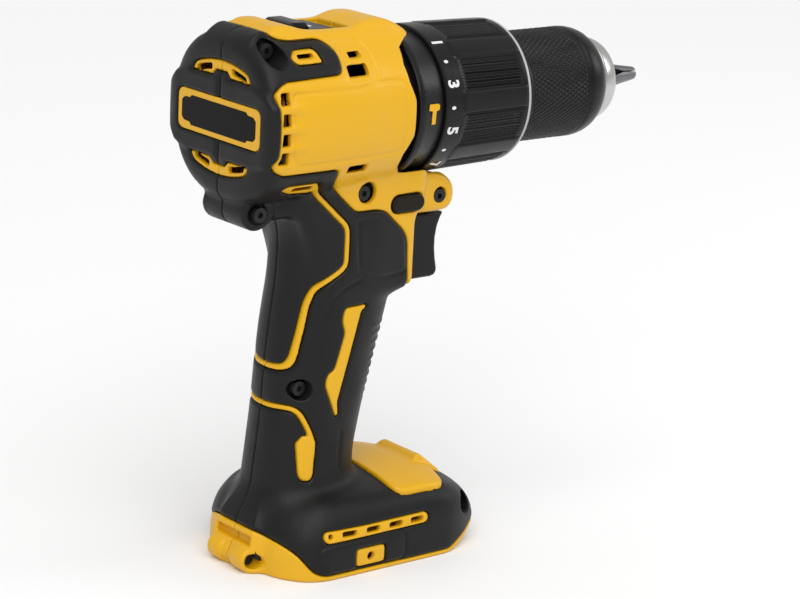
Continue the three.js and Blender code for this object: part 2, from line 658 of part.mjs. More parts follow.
function chuckNose() {
  const [rear, front] = NOSE_X;
  const profile = [[rear, 0], [rear, 15.9], [rear + 1.6, 15.6], [front, 13.9], [front, 0]];
  return cut(turned(profile, 28), disc(160, 180, 7.2, 16), ...jawBores(JAW_R + 0.5));
}

const jawNut = () => turned([[157.4, 17.7], [157.4, 18.9], [163, 18.9], [163, 17], [160, 17]], 24);
const chuckScrew = () => cut(turned([[127, 0], [127, 2.5], [141.5, 2.5], [141.5, 4.2], [144, 4.2], [144, 0]], 16), disc(142.6, 150, 1.4, 6));

// ---------------------------------------------------------------- trigger and controls

function trigger() {
  const outline = new THREE.Shape();
  outline.moveTo(81, -41.6);
  outline.lineTo(97.6, -42.6);
  outline.quadraticCurveTo(92.6, -55, 96, -65.2);
  outline.quadraticCurveTo(96, -67.4, 93, -67.4);
  outline.lineTo(81, -67);
  return join(plateY(outline, -8, 8), rodX(0, -52, 2.4, 73.6, 82, 12));
}

const triggerSpring = () => spring(73, 80, 4.2, 0.9, 4).translate([0, 0, -52]);

function switchBody() {
  return cut(block([48, 71.6], [-9.8, 9.8], [-63.5, -42]), rodX(0, -52, 3.1, 62, 80, 12));
}

// A bar with half-round ends, along Y.
function roundedBar(x, z, halfLength, r, y0, y1) {
  const shape = new THREE.Shape();
  shape.absarc(x - halfLength + r, z, r, Math.PI / 2, 1.5 * Math.PI);
  shape.absarc(x + halfLength - r, z, r, -Math.PI / 2, Math.PI / 2);
  return plateY(shape, y0, y1);
}

const reversingBar = () => roundedBar(73.7, -34.9, 7.4, 3.1, -17.6, 17.6);
const controlModule = () => block([37, 58], [-8.5, 8.5], [-122, -76]);

// ---------------------------------------------------------------- assembly

const head = new THREE.Group();
head.position.set(-OVERALL_LENGTH / 2, 0, AXIS_HEIGHT);

function place(name, part, material) {
  const { vertProperties, triVerts, numProp } = part.getMesh();
  const geometry = new THREE.BufferGeometry();
  const positions = new Float32Array(vertProperties.length / numProp * 3);
  for (let i = 0; i < positions.length / 3; i++) {
    positions.set(vertProperties.subarray(i * numProp, i * numProp + 3), i * 3);
  }
  geometry.setAttribute('position', new THREE.BufferAttribute(positions, 3));
  geometry.setIndex(new THREE.BufferAttribute(Uint32Array.from(triVerts), 1));
  geometry.computeVertexNormals();
  const mesh = new THREE.Mesh(geometry, material);
  mesh.name = name;
  head.add(mesh);
}

function placeHousing() {
  place('housing_right', housingHalf(-1), YELLOW);
  place('housing_left', housingHalf(1), YELLOW);
  place('overmould_right', overmouldHalf(-1), BLACK_RUBBER);
  place('overmould_left', overmouldHalf(1), BLACK_RUBBER);
  place('rear_badge', rearBadge(), YELLOW);
  SCREWS.forEach((screw) => place(screw.name, housingScrew(screw), DARK_STEEL));
  place('belt_nut_right', beltNut(-1), BRASS);
  place('belt_nut_left', beltNut(1), BRASS);
}

function placeFoot() {
  place('foot_cover', footCover(), YELLOW);
  place('led_lens', ledLens(), LENS);
  place('led_board', ledBoard(), BOARD);
  place('terminal_block', terminalBlock(), BLACK_PLASTIC);
  CONTACT_Y.forEach((y, k) => place(`contact_blade_${k + 1}`, contactBlade(y), COPPER));
}

function placeMotor() {
  place('stator_core', statorCore(), STEEL);
  place('stator_windings', statorWindings(), COPPER);
  place('rotor_core', ring(16.5, 38.5, 2.7, 12, 16), DARK_STEEL);
  place('motor_shaft', motorShaft(), STEEL);
  place('cooling_fan', coolingFan(), BLACK_PLASTIC);
  place('rear_bearing', ring(7.5, 11.5, 2.6, 7.6, 20), STEEL);
  place('front_bearing', ring(49.6, 53.6, 2.6, 9.2, 20), STEEL);
  place('motor_sensor_board', ring(12.6, 14, 8.4, 16.4, 16), BOARD);
}

function placeGearbox() {
  place('gear_case', gearCase(), GREY_PLASTIC);
  place('ring_gear_1', ringGear([55, 62]), STEEL);
  PLANET_ANGLES.forEach((degrees, k) => place(`planet_1_${k + 1}`, planet(degrees, STAGE_1_X), STEEL));
  place('carrier_1', carrier1(), STEEL);
  place('ring_gear_2', ringGear([66.6, 73.6]), DARK_STEEL);
  PLANET_ANGLES.forEach((degrees, k) => place(`planet_2_${k + 1}`, planet(degrees, STAGE_2_X), STEEL));
  place('output_carrier', outputCarrier(), STEEL);
  place('output_spindle', outputSpindle(), STEEL);
  place('spindle_bearing', ring(104, 110, 6.5, 13, 18), STEEL);
  place('clutch_plate', clutchPlate(), STEEL);
  place('clutch_spring', clutchSpring(), STEEL);
  place('speed_selector', speedSelector(), BLACK_PLASTIC);
  place('mode_collar', modeCollar(), BLACK_PLASTIC);
  place('torque_collar', torqueCollar(), BLACK_PLASTIC);
}

function placeChuck() {
  place('chuck_body', chuckBody(), DARK_STEEL);
  place('chuck_sleeve', chuckSleeve(), BLACK_PLASTIC);
  place('chuck_nose', chuckNose(), SILVER);
  JAW_ANGLES.forEach((degrees, k) => place(`jaw_${k + 1}`, jaw(degrees), DARK_STEEL));
  place('jaw_nut', jawNut(), STEEL);
  place('chuck_screw', chuckScrew(), DARK_STEEL);
}

function placeControls() {
  place('trigger', trigger(), BLACK_PLASTIC);
  place('trigger_spring', triggerSpring(), STEEL);
  place('switch_body', switchBody(), GREY_PLASTIC);
  place('reversing_bar', reversingBar(), BAR_PLASTIC);
  place('control_module', controlModule(), GREY_PLASTIC);
}

placeHousing();
placeFoot();
placeMotor();
placeGearbox();
placeChuck();
placeControls();

const drill = new THREE.Group();
drill.add(head);
export default drill;
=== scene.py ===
import json
import math

import bmesh
import bpy
import numpy as np
from mathutils import Matrix, Vector


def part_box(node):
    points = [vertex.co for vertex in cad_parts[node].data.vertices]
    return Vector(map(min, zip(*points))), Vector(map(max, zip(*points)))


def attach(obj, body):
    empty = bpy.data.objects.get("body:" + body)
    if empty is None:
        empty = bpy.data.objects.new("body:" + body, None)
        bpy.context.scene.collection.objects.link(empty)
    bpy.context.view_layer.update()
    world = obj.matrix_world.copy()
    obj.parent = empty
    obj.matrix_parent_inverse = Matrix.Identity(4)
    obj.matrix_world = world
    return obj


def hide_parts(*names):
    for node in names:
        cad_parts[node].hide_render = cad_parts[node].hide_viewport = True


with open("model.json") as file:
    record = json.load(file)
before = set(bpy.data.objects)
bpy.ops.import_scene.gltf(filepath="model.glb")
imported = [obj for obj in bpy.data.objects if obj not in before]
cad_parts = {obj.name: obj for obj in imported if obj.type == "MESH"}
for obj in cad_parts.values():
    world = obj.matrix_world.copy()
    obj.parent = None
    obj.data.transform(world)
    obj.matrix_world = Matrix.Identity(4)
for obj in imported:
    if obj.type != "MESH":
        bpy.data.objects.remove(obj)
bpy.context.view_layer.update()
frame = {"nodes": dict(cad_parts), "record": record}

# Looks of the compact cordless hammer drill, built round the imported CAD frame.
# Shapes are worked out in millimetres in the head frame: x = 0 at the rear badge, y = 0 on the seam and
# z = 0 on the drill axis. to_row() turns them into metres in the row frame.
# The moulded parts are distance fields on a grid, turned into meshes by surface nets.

# ---------------------------------------------------------------- driving dimensions, mm

LENGTH = 196.4                     # rear badge to jaw tips
AXIS_HEIGHT = 167.0                # drill axis above the underside of the foot
SEAM = 0.12                        # half of the gap between the two halves
SKIN = 1.6                         # thickness of the soft grip moulding
WALL = 2.4                         # thickness of the housing wall
HOUSING_HALF = 32.8                # no part of the housing reaches further from the seam
FOOT_HALF = 32.0                   # half width over which the top of the foot falls away
CELL = 0.5  # grid step of the moulded parts
F = np.float32                     # number type of the grids


def to_row(points):
    p = np.asarray(points, dtype=float)
    return (p + np.array([-LENGTH / 2, 0.0, AXIS_HEIGHT])) / 1000.0


# ---------------------------------------------------------------- distance fields

def smax(a, b, k):
    h = np.maximum(k - np.abs(a - b), 0) / k
    return np.maximum(a, b) + h * h * (k / 4)


def smin(a, b, k):
    return -smax(-a, -b, k)


def polyline(u, v, points):
    """Distance in the plane to an open line."""
    u, v = np.broadcast_arrays(u, v)
    best = np.full(u.shape, 1e9, F)
    for (ax, ay), (bx, by) in zip(points, points[1:]):
        ex, ey = bx - ax, by - ay
        wx, wy = u - ax, v - ay
        t = np.clip((wx * ex + wy * ey) / (ex * ex + ey * ey + 1e-9), 0, 1)
        best = np.minimum(best, (wx - ex * t) ** 2 + (wy - ey * t) ** 2)
    return np.sqrt(best).astype(F)


def polygon(u, v, points):
    """Signed distance in the plane to a closed outline, negative inside."""
    u, v = np.broadcast_arrays(u, v)
    ring = points + points[:1]
    inside = np.zeros(u.shape, bool)
    for (ax, ay), (bx, by) in zip(ring, ring[1:]):
        if ay != by:
            crosses = (ay > v) != (by > v)
            inside ^= crosses & (u < ax + (v - ay) * (bx - ax) / (by - ay))
    return (np.where(inside, -1, 1) * polyline(u, v, ring)).astype(F)


def corner(a, b, c, r, share, steps):
    """Points of a curve of about radius r in place of the corner b, using that share of its two sides."""
    a, b, c = (np.array(p, float) for p in (a, b, c))
    la, lc = np.linalg.norm(a - b), np.linalg.norm(c - b)
    p = b + (a - b) / la * min(r, la * share)
    q = b + (c - b) / lc * min(r, lc * share)
    return [tuple((1 - s) ** 2 * p + 2 * s * (1 - s) * b + s * s * q) for s in steps]


def rounded(points, r, steps=5):
    """The closed outline with every corner rounded."""
    out = []
    for i, b in enumerate(points):
        out += corner(points[i - 1], b, points[(i + 1) % len(points)], r, 0.49, np.linspace(0, 1, steps))
    return out


def rounded_line(points, r):
    """The open line with every inner corner rounded."""
    out = [points[0]]
    for a, b, c in zip(points, points[1:], points[2:]):
        out += corner(a, b, c, r, 0.45, (0, 0.33, 0.67, 1))
    return out + [points[-1]]


def capsule(u, v, a, b, r):
    return polyline(u, v, [a, b]) - r


def smooth_curve(x, knots, soften=3.0):
    """Values of a piecewise line through the knots, softened over about that many millimetres."""
    kx, ky = zip(*knots)
    out = 0
    for shift, weight in ((-1, 1), (-0.5, 2), (0, 3), (0.5, 2), (1, 1)):
        out = out + weight * np.interp(x + shift * soften, kx, ky)
    return (out / 9).astype(F)


# ---------------------------------------------------------------- the housing's outer form

BARREL_SQUARE = 2.35               # 2 would be an ellipse, more is squarer
BARREL_Y = [(0, 30.9), (12, 31.3), (30, 31), (45, 30), (55, 28.7), (72, 28.2)]
BARREL_Z = [(0, 29.8), (12, 30.2), (30, 29.6), (45, 28.8), (55, 28.1), (72, 27.8)]
BARREL_REAR_X = 1.0
BARREL_REAR_ROUND = 7.0
HANDLE_Z = [-152, -146, -138, -126, -110, -91, -78, -60, -40, -24]
HANDLE_REAR = [19.2, 19.4, 20, 21.5, 23.2, 24.3, 25.6, 28, 28.6, 24]
HANDLE_FRONT = [62.5, 61.6, 61, 60.8, 64, 68.8, 72.6, 77.5, 79, 79]
HANDLE_HALF = [18.6, 18, 17.5, 17.2, 17.3, 17.5, 17.5, 17, 16.5, 16.5]
HANDLE_SOFTEN = 5
HANDLE_SQUARE = 2.3
HANDLE_MIDDLE_Z = -84
HANDLE_REACH = 64                  # up and down from the middle


def barrel(x, y, z):
    """The motor barrel, squarish in section and rounded at the rear."""
    hy = smooth_curve(x, BARREL_Y)
    hz = smooth_curve(x, BARREL_Z)
    n = BARREL_SQUARE
    rho = ((np.abs(y) / hy) ** n + (np.abs(z) / hz) ** n) ** (1 / n)
    side = (rho - 1) * np.minimum(hy, hz)
    return smax(side.astype(F), (BARREL_REAR_X - x).astype(F), BARREL_REAR_ROUND)


# The front edge of the head from the side, as (z, x).
FRONT_EDGE = [(-32, 66), (-18, 63), (-14, 63), (-7, 66.2), (6, 66.2), (12, 64), (18, 63.2), (23, 65),
              (27, 71.5), (34, 72)]
HUMP_SIDE = [(9, 18), (10.8, 29.2), (13.6, 32.4), (16, 33.0), (21.5, 32.8), (26, 31.2), (31, 30.2),
             (48, 30.2), (51, 31.2), (55.5, 32.9), (63, 32.6), (68, 30.6), (73, 27), (74, 18)]
HUMP_HALF = 14.2                   # half width at HUMP_LEAN_Z
HUMP_LEAN = 0.4                    # how much the sides lean in per millimetre of height
HUMP_LEAN_Z = 28


def hump(x, y, z):
    """The two humps on top, before and behind the gear selector."""
    side = polygon(x, z, rounded(HUMP_SIDE, 4))
    return smax(side, np.abs(y) - HUMP_HALF + HUMP_LEAN * (z - HUMP_LEAN_Z), 3.0)


THROAT_SIDE = [(22, -16), (84, -16), (84, -31), (79.5, -41.5), (79.5, -66.2), (72, -68), (40, -66),
               (28.6, -40), (24, -30)]
THROAT_HALF = 16.5
FRONT_BLOCK_SIDE = [(58, -24), (90, -25.2), (95.4, -27.6), (98.8, -31.6), (98.8, -37.4), (96, -40.8),
                    (58, -40.8)]
FRONT_BLOCK_HALF = 13.5


def throat(x, y, z):
    """The block between the barrel and the handle, with the narrower nose above the trigger."""
    body = smax(polygon(x, z, rounded(THROAT_SIDE, 3)), np.abs(y) - THROAT_HALF, 5.0)
    nose = smax(polygon(x, z, rounded(FRONT_BLOCK_SIDE, 3)), np.abs(y) - FRONT_BLOCK_HALF, 3.5)
    return smin(body, nose, 2.5)


def handle_section(z):
    """Middle, half depth and half width of the handle at each height."""
    rear = smooth_curve(z, list(zip(HANDLE_Z, HANDLE_REAR)), HANDLE_SOFTEN)
    front = smooth_curve(z, list(zip(HANDLE_Z, HANDLE_FRONT)), HANDLE_SOFTEN)
    half = smooth_curve(z, list(zip(HANDLE_Z, HANDLE_HALF)), HANDLE_SOFTEN)
    return (rear + front) / 2, (front - rear) / 2, half


def handle(x, y, z):
    mid, a, b = handle_section(z)
    n = HANDLE_SQUARE
    rho = ((np.abs(x - mid) / a) ** n + (np.abs(y) / b) ** n) ** (1 / n)
    side = ((rho - 1) * np.minimum(a, b)).astype(F)
    return smax(side, np.abs(z - HANDLE_MIDDLE_Z) - HANDLE_REACH, 2.0)


REAR_BOSSES = [(9.5, 25.2, 6.2), (9.5, -32.6, 6)]      # x, z and radius
REAR_BOSS_HALF = 12.4
WEB_SIDE = [(8, -18), (7, -30), (9, -36.2), (26, -36.4), (46, -28), (46, -18)]
WEB_HALF = 12


def tubes(x, y, z):
    """The two screw bosses at the rear and the web from the lower one to the handle."""
    upper, lower = [(np.sqrt((x - cx) ** 2 + (z - cz) ** 2) - r).astype(F) for cx, cz, r in REAR_BOSSES]
    upper = smax(upper, np.abs(y) - REAR_BOSS_HALF, 1.4)
    lower = smax(lower, np.abs(y) - REAR_BOSS_HALF, 1.4)
    web = smax(polygon(x, z, rounded(WEB_SIDE, 3)), np.abs(y) - WEB_HALF, 4.0)
    return smin(np.minimum(upper, lower), web, 2.5)


CROWN_Z = -136.6                   # top of the foot on the seam
CROWN_FALL = 5.4                   # from the seam to the sides
NOSE_X, NOSE_FALL, NOSE_RUN = 78, 6.2, 22
TAIL_X, TAIL_FALL, TAIL_RUN = 38, 7.0, 26


def foot_top(x, y):
    """Height of the top of the foot, which falls away to the sides, the nose and the tail."""
    crown = CROWN_Z - CROWN_FALL * (y / FOOT_HALF) ** 2
    nose = NOSE_FALL * (np.maximum(x - NOSE_X, 0) / NOSE_RUN) ** 2
    tail = TAIL_FALL * (np.maximum(TAIL_X - x, 0) / TAIL_RUN) ** 1.5
    return (crown - nose - tail).astype(F)


FOOT_PLAN = [(12, 0), (12, 12.4), (16.4, 13.6), (17.6, 19.6), (20.4, 25), (24.4, 29.6), (31, 32.7),
             (89, 32.7), (98, 30), (107, 24), (111, 17), (111.6, 0)]


def foot_plan(x, y):
    mirrored = FOOT_PLAN + [(px, -py) for px, py in reversed(FOOT_PLAN[1:-1])]
    return polygon(x, y, rounded(mirrored, 4))


CHAMFER_X, CHAMFER_Z, CHAMFER_SLOPE = 92.5, -166.2, 0.42       # under the nose of the foot
TAIL_SLOT = (8, 15.4, 10.2, -156.9, -153.6)                    # box_field values
BOSS_X, BOSS_Z, BOSS_R = 13.8, -162.3, 4.7                     # the boss under the tail of the foot
BOSS_HALF = 11.0
BOSS_WAIST, BOSS_WAIST_HALF = 1.1, 3


def foot(x, y, z):
    plan = foot_plan(x, y)
    edge_round = 9.0 + 7.0 * np.clip((50 - x) / 22, 0, 1)
    body = smax(plan, (z - foot_top(x, y)) * 0.93, edge_round)
    body = smax(body, (-AXIS_HEIGHT - z).astype(F), 1.2)
    chamfer = ((x - CHAMFER_X) * CHAMFER_SLOPE - (z - CHAMFER_Z)) * 0.9
    body = smax(body, chamfer.astype(F), 1.5)
    slot = smax(box_field(x, y, z, *TAIL_SLOT), -2 - x, 0.8)
    boss = np.sqrt((x - BOSS_X) ** 2 + (z - BOSS_Z) ** 2)
    boss_r = np.where(np.abs(y) > BOSS_WAIST_HALF, BOSS_R, BOSS_R - BOSS_WAIST)
    tube = smax((boss - boss_r).astype(F), np.abs(y) - BOSS_HALF, 1.0)
    whole = smin(smax(body, -slot, 1.0), tube, 1.2)
    return np.maximum(whole, -AXIS_HEIGHT - z).astype(F)


BUMPER_REAR = [(0, -14.9), (19, -14.9), (27, -12.8), (31.2, -8.8), (32.4, -4), (32.4, 4), (31.2, 8.6),
               (27, 12.4), (19, 14.6), (0, 14.6)]
BUMPER_PLAN = [(0.3, 0), (0.3, 27), (0.9, 29.8), (2.2, 31.8), (4.4, 32.6), (6.5, 31.5), (6.5, 0)]
BUMPER_FRONT_X = 6


def bumper(x, y, z):
    """The band across the rear: an octagon from behind, rounded in plan."""
    flat = polygon(x, np.abs(y), rounded(BUMPER_PLAN, 2.5))
    return smax(smax(flat, polygon(np.abs(y), z, BUMPER_REAR), 2.2), x - BUMPER_FRONT_X, 1.0)


def outer_form(x, y, z):
    """The whole housing before any recess is cut."""
    head = smin(barrel(x, y, z), hump(x, y, z), 3.0)
    front = np.interp(z, *zip(*FRONT_EDGE)).astype(F)
    head = smax(head, (x - front).astype(F), 0.9)
    head = smin(head, tubes(x, y, z), 1.8)
    grip = smin(throat(x, y, z), handle(x, y, z), 4.0)
    grip = smin(grip, foot(x, y, z), 5.0)
    both = smin(head, grip, 3.0)
    return smin(both, bumper(x, y, z), 0.8)


# ---------------------------------------------------------------- where black and yellow meet

BLACK_TOP = [(-9, 16.6), (9.5, 16.6), (34, 17.2), (35.8, 24.6), (31.4, 27.9), (18, 28),
             (13.4, 28.9), (11.2, 30.4), (10, 34), (-9, 36)]
BLACK_LOW = [(-9, -15.8), (33.7, -16.1), (35.2, -22), (48.7, -34.7), (50.7, -35.5), (59, -35.5),
             (63.4, -36.6), (73, -45.2), (74.8, -48.6), (75.9, -67), (110, -67), (150, -110),
             (150, -200), (-60, -200), (-60, -40)]
WINDOW_REAR = [(-9, 20), (10.5, 20), (10, 16.8), (6.6, 15.6), (3.6, 12.8), (4.5, 8.6), (4.5, -8.8),
               (3.4, -12), (5.4, -14.6), (9, -16), (9.5, -20), (-9, -20)]
STRIPE_UPPER = [(27.5, -22.8), (46, -40.2), (46.5, -43.6), (46.3, -54.3), (44.5, -56.2), (38.8, -59.4),
                (35, -63.4), (33, -68.4), (28.8, -88.6), (27.4, -91.4), (25, -92.6), (20, -93.2),
                (5, -93.4)]
STRIPE_LOWER = [(5, -107.2), (22, -107.1), (26, -106.5), (29, -107), (31, -109), (34, -115.4),
                (35.4, -119.4)]
FLASH = [(31.6, -116.4), (35.2, -117.6), (36.6, -120), (35.6, -132.6), (33.9, -134.2), (31.2, -133.6),
         (30, -131.6), (29.3, -119.2), (30.6, -118)]
GRIP_INSERT = [(47.3, -70.5), (56.6, -70.2), (56.4, -71.6), (54.4, -72.4), (45.1, -105.5), (45.7, -110),
               (44.5, -111.2), (39.6, -99), (39.8, -96.4), (40.6, -94.4), (43.2, -92.9), (47.2, -79.9),
               (46, -76), (46.2, -73)]
REAR_VENT_TOP = [(14.6, 23.4), (18, 25.5), (26.8, 25.5), (27.4, 21.2), (16.2, 21.2)]
REAR_VENT_LOW = [(11.5, -22.4), (13.4, -20.6), (27, -20.7), (29.6, -24.4), (26.4, -25.6), (16.6, -24.6)]
FOOT_TAIL = [(-9, -148.8), (14, -150.6), (18.4, -153.2), (22.4, -156.8), (25.2, -161), (27.8, -164),
             (32, -165.3), (150, -165.3), (150, -200), (-60, -200), (-60, -148)]
TOP_PLATE = [(65.2, -1), (65.2, 25), (67.6, 28.6), (85.6, 28.6), (89.4, 26.2), (94, 10.7), (94.4, -1)]


STRIPE_UPPER_HALF, STRIPE_LOWER_HALF = 1.05, 1.0
FOOT_BAR = ((33.2, -151), (75.8, -150.6), 2.2)         # both ends and half width
FOOT_PLATE_X, FOOT_PLATE_Z = 51.6, -160.7
FOOT_PLATE_HALF = (6.5, 3.4)
RIM_Z = -163.9                     # top of the yellow rim at the start of the chamfer
REAR_FACE_X, REAR_FACE_Z = 6.5, 23                     # the crescents show inside these


def black_mask(x, y, z):
    """Negative where the soft black overmould covers the housing, positive where yellow shows."""
    black = np.minimum(polygon(x, z, rounded(BLACK_TOP, 2.4)), polygon(x, z, rounded(BLACK_LOW, 2.4)))
    black = np.minimum(black, polygon(x, z, rounded(WINDOW_REAR, 1.2)))
    yellow = polyline(x, z, rounded_line(STRIPE_UPPER, 2)) - STRIPE_UPPER_HALF
    yellow = np.minimum(yellow, polyline(x, z, rounded_line(STRIPE_LOWER, 2)) - STRIPE_LOWER_HALF)
    for outline, r in ((FLASH, 1.4), (GRIP_INSERT, 1.1), (REAR_VENT_TOP, 1.2), (REAR_VENT_LOW, 1.2)):
        yellow = np.minimum(yellow, polygon(x, z, rounded(outline, r)))
    yellow = np.minimum(yellow, polygon(x, z, rounded(FOOT_TAIL, 2.5)))
    yellow = np.minimum(yellow, capsule(x, z, *FOOT_BAR))
    half_x, half_z = FOOT_PLATE_HALF
    plate = smax(np.abs(x - FOOT_PLATE_X) - half_x, np.abs(z - FOOT_PLATE_Z) - half_z, 1.6)
    yellow = np.minimum(yellow, plate)
    chamfer_rim = ((z - RIM_Z) - (x - CHAMFER_X) * CHAMFER_SLOPE).astype(F)
    yellow = np.minimum(yellow, chamfer_rim)
    side = np.maximum(black, -yellow)
    crescent = rear_crescents(y, z)
    at_rear = (x < REAR_FACE_X) & (np.abs(z) < REAR_FACE_Z)
    mask = np.broadcast_to(side, np.broadcast_shapes(x.shape, y.shape, z.shape))
    return np.where(at_rear, np.maximum(mask, -crescent), mask).astype(F)


CRESCENT_R = 45.0


def rear_crescents(y, z):
    """Negative on the two yellow crescent vents above and below the rear band."""
    high = np.abs(z)
    disc = np.sqrt(y ** 2 + (high + CRESCENT_R - 20.2) ** 2) - CRESCENT_R
    notch = np.maximum(np.abs(y) - 5.4 + np.maximum(high - 14.6, 0), high - 16.6)
    ends = smax(disc, np.abs(y) + 0.35 * (high - 14) - 17.2, 2.0)
    return np.maximum(np.maximum(ends, 14.5 - high), -notch).astype(F)


# ---------------------------------------------------------------- what is cut away

def box_field(x, y, z, x0, x1, half, z0, z1):
    """A box from x0 to x1 and z0 to z1, with the same half width on both sides of the seam."""
    flat_x = np.abs(x - (x0 + x1) / 2) - (x1 - x0) / 2
    flat_z = np.abs(z - (z0 + z1) / 2) - (z1 - z0) / 2
    return np.maximum(np.maximum(flat_x, flat_z), np.abs(y) - half).astype(F)


# Slots seen from the side, as (x from, x to, z, half height).
SIDE_SLOTS = [(40.3, 46.2, 22.3, 0.95), (37, 46.4, 17.6, 1.9), (37.8, 47, -16.9, 1.35),
              (17.6, 25, 23.5, 0.7), (16.5, 26, -22.6, 0.7)]
FOOT_SLOTS = [(32.9, 34.6), (38.6, 45), (49.4, 55.4), (59.8, 66), (69.8, 75.6)]
FOOT_SLOTS_Z, FOOT_SLOTS_HALF = -150.8, 1.05
WINDOW_SLOTS = [11.2, 4.1, -2.8, -9.4]                 # heights of the four vents behind the label
WINDOW_SLOT_X, WINDOW_SLOT_HALF = 7.6, (2.0, 2.2)
BAR_Z = -34.9                      # middle of the direction bar
BAR_SLOT = ((69.3, BAR_Z), (78.1, BAR_Z), 3.5)         # both ends and half height
PLATE_HOLE_Z, PLATE_HOLE_R = -160.8, 1.6
SIDE_CUT_Y = 6.0                   # side openings end this far from the seam
TRIGGER_OPENING = (72.2, 110, 8.8, -68.5, -41)         # box_field values, as the next two
SELECTOR_OPENING = (22.2, 48.6, 9.3, 28.1, 50)
BATTERY_CHANNEL = (38, 130, 23.5, -190, -155)
BORE_REAR_X, BORE_REAR_R = 61.5, 26.2
BORE_STEP_X, BORE_FRONT_R = 68, 28.2
BADGE_RECESS = (-24.7, 24.7, -7.8, 7.4, 3.6)           # round_rect values
BADGE_RECESS_X = 1.7


def slot_field(x, z, x0, x1, at, half):
    return smax(np.abs(z - at) - half, np.abs(x - (x0 + x1) / 2) - (x1 - x0) / 2, 0.8)


def openings(x, y, z):
    """All the openings through the wall, and the two of them that have a wall round their inside."""
    slots = SIDE_SLOTS + [(x0, x1, FOOT_SLOTS_Z, FOOT_SLOTS_HALF) for x0, x1 in FOOT_SLOTS]
    cuts = [slot_field(x, z, *slot) for slot in slots]
    half_x, half_z = WINDOW_SLOT_HALF
    for at in WINDOW_SLOTS:
        cuts.append(smax(np.abs(z - at) - half_z, np.abs(x - WINDOW_SLOT_X) - half_x + (z - at) * 0.1, 0.7))
    cuts.append(capsule(x, z, *BAR_SLOT))
    cuts.append((np.sqrt((x - FOOT_PLATE_X) ** 2 + (z - PLATE_HOLE_Z) ** 2) - PLATE_HOLE_R).astype(F))
    side = cuts[0]
    for cut in cuts[1:]:
        side = np.minimum(side, cut)
    side = np.maximum(side, SIDE_CUT_Y - np.abs(y))
    trigger = box_field(x, y, z, *TRIGGER_OPENING)
    selector = box_field(x, y, z, *SELECTOR_OPENING)
    channel = box_field(x, y, z, *BATTERY_CHANNEL)
    radius = np.where(x > BORE_STEP_X, BORE_FRONT_R, BORE_REAR_R)
    bore = smax((np.sqrt(y ** 2 + z ** 2) - radius).astype(F), (BORE_REAR_X - x).astype(F), 0.6)
    badge = np.maximum(polygon(y, z, round_rect(*BADGE_RECESS)), x - BADGE_RECESS_X)
    whole = np.minimum(np.minimum(np.minimum(side, trigger), badge), np.minimum(selector, channel))
    return np.minimum(whole, bore), np.minimum(channel, selector)


def rear_slots(x, y, z):
    """The dark slots in the rear crescents, a few millimetres deep."""
    high = np.abs(z)
    middle = 17.6 - 0.011 * y ** 2
    slot = smax(np.abs(high - middle) - 1.1, np.abs(np.abs(y) - 10.2) - 4.6, 0.8)
    return np.maximum(slot, x - 9.5).astype(F)


# Screw pockets on the right half, as (x, z, radius, distance of the floor from the seam).
SCREWS = [(8.9, 25.2, 4.0, 11.6), (9.5, -32.6, 3.7, 12), (54.4, -28.8, 3.9, 14), (91.5, -34.4, 2.9, 10.5),
          (30.6, -99.6, 3.7, 10)]
NOSE_POCKET = (99.4, -150.6, 3.6, 21)
TAIL_POCKET_R, TAIL_POCKET_Y = 2.9, 7.5


def screw_recesses(x, y, z):
    """The screw pockets, which are on the right half only."""
    pocket = None
    for cx, cz, r, depth in SCREWS:
        flare = np.maximum(-y - depth - 1.5, 0) * 0.08
        one = np.maximum(np.sqrt((x - cx) ** 2 + (z - cz) ** 2) - r - flare, y + depth)
        pocket = one if pocket is None else np.minimum(pocket, one)
    cx, cz, r, depth = NOSE_POCKET
    nose = np.maximum(np.sqrt((x - cx) ** 2 * 0.8 + (z - cz) ** 2) - r, y + depth)
    tail = np.maximum(np.sqrt((x - BOSS_X) ** 2 + (z - BOSS_Z) ** 2) - TAIL_POCKET_R, y + TAIL_POCKET_Y)
    return np.minimum(np.minimum(pocket, nose), tail).astype(F)


LABEL = [(11, 12.6), (42, 12.2), (46, 13.6), (60, 13.2), (61.5, 11.5), (61.5, -11), (59.5, -12.6),
         (14, -12.6), (11, -9)]
VENT_DIP = [(36.2, 14.4), (36.2, 26.6), (47.6, 27), (50.4, 24.4), (50.4, 14.4)]
FOOT_PAD = [(28.6, -154), (67.5, -154), (67.5, -164.6), (34, -164.6), (28.6, -161)]
FLUTE = [(47.3, -117), (47.1, -131.5)]
GRIP_LINES = [[(1, -26.6), (7, -26.8), (12, -26.4), (20, -25.4)],
              [(50.6, -39), (60.8, -38.6), (73.2, -46.9), (74.6, -60.2), (62, -61), (52, -57.4), (50.6, -39)],
              [(53, -60.4), (46, -62.6), (41, -67), (37.7, -73.9), (34.8, -83.3), (33.6, -92)]]
RELIEF_FROM_Y = 14                 # side detail starts this far from the seam
RIB_PITCH, RIB_HEIGHT = 3.2, 0.22
RIBS_X = 60.5
RIBS_Z = (-112, -77)


def crease(distance, depth, half):
    """A soft groove along a line, from the distance to it."""
    return depth * np.exp(-(distance / half) ** 2)


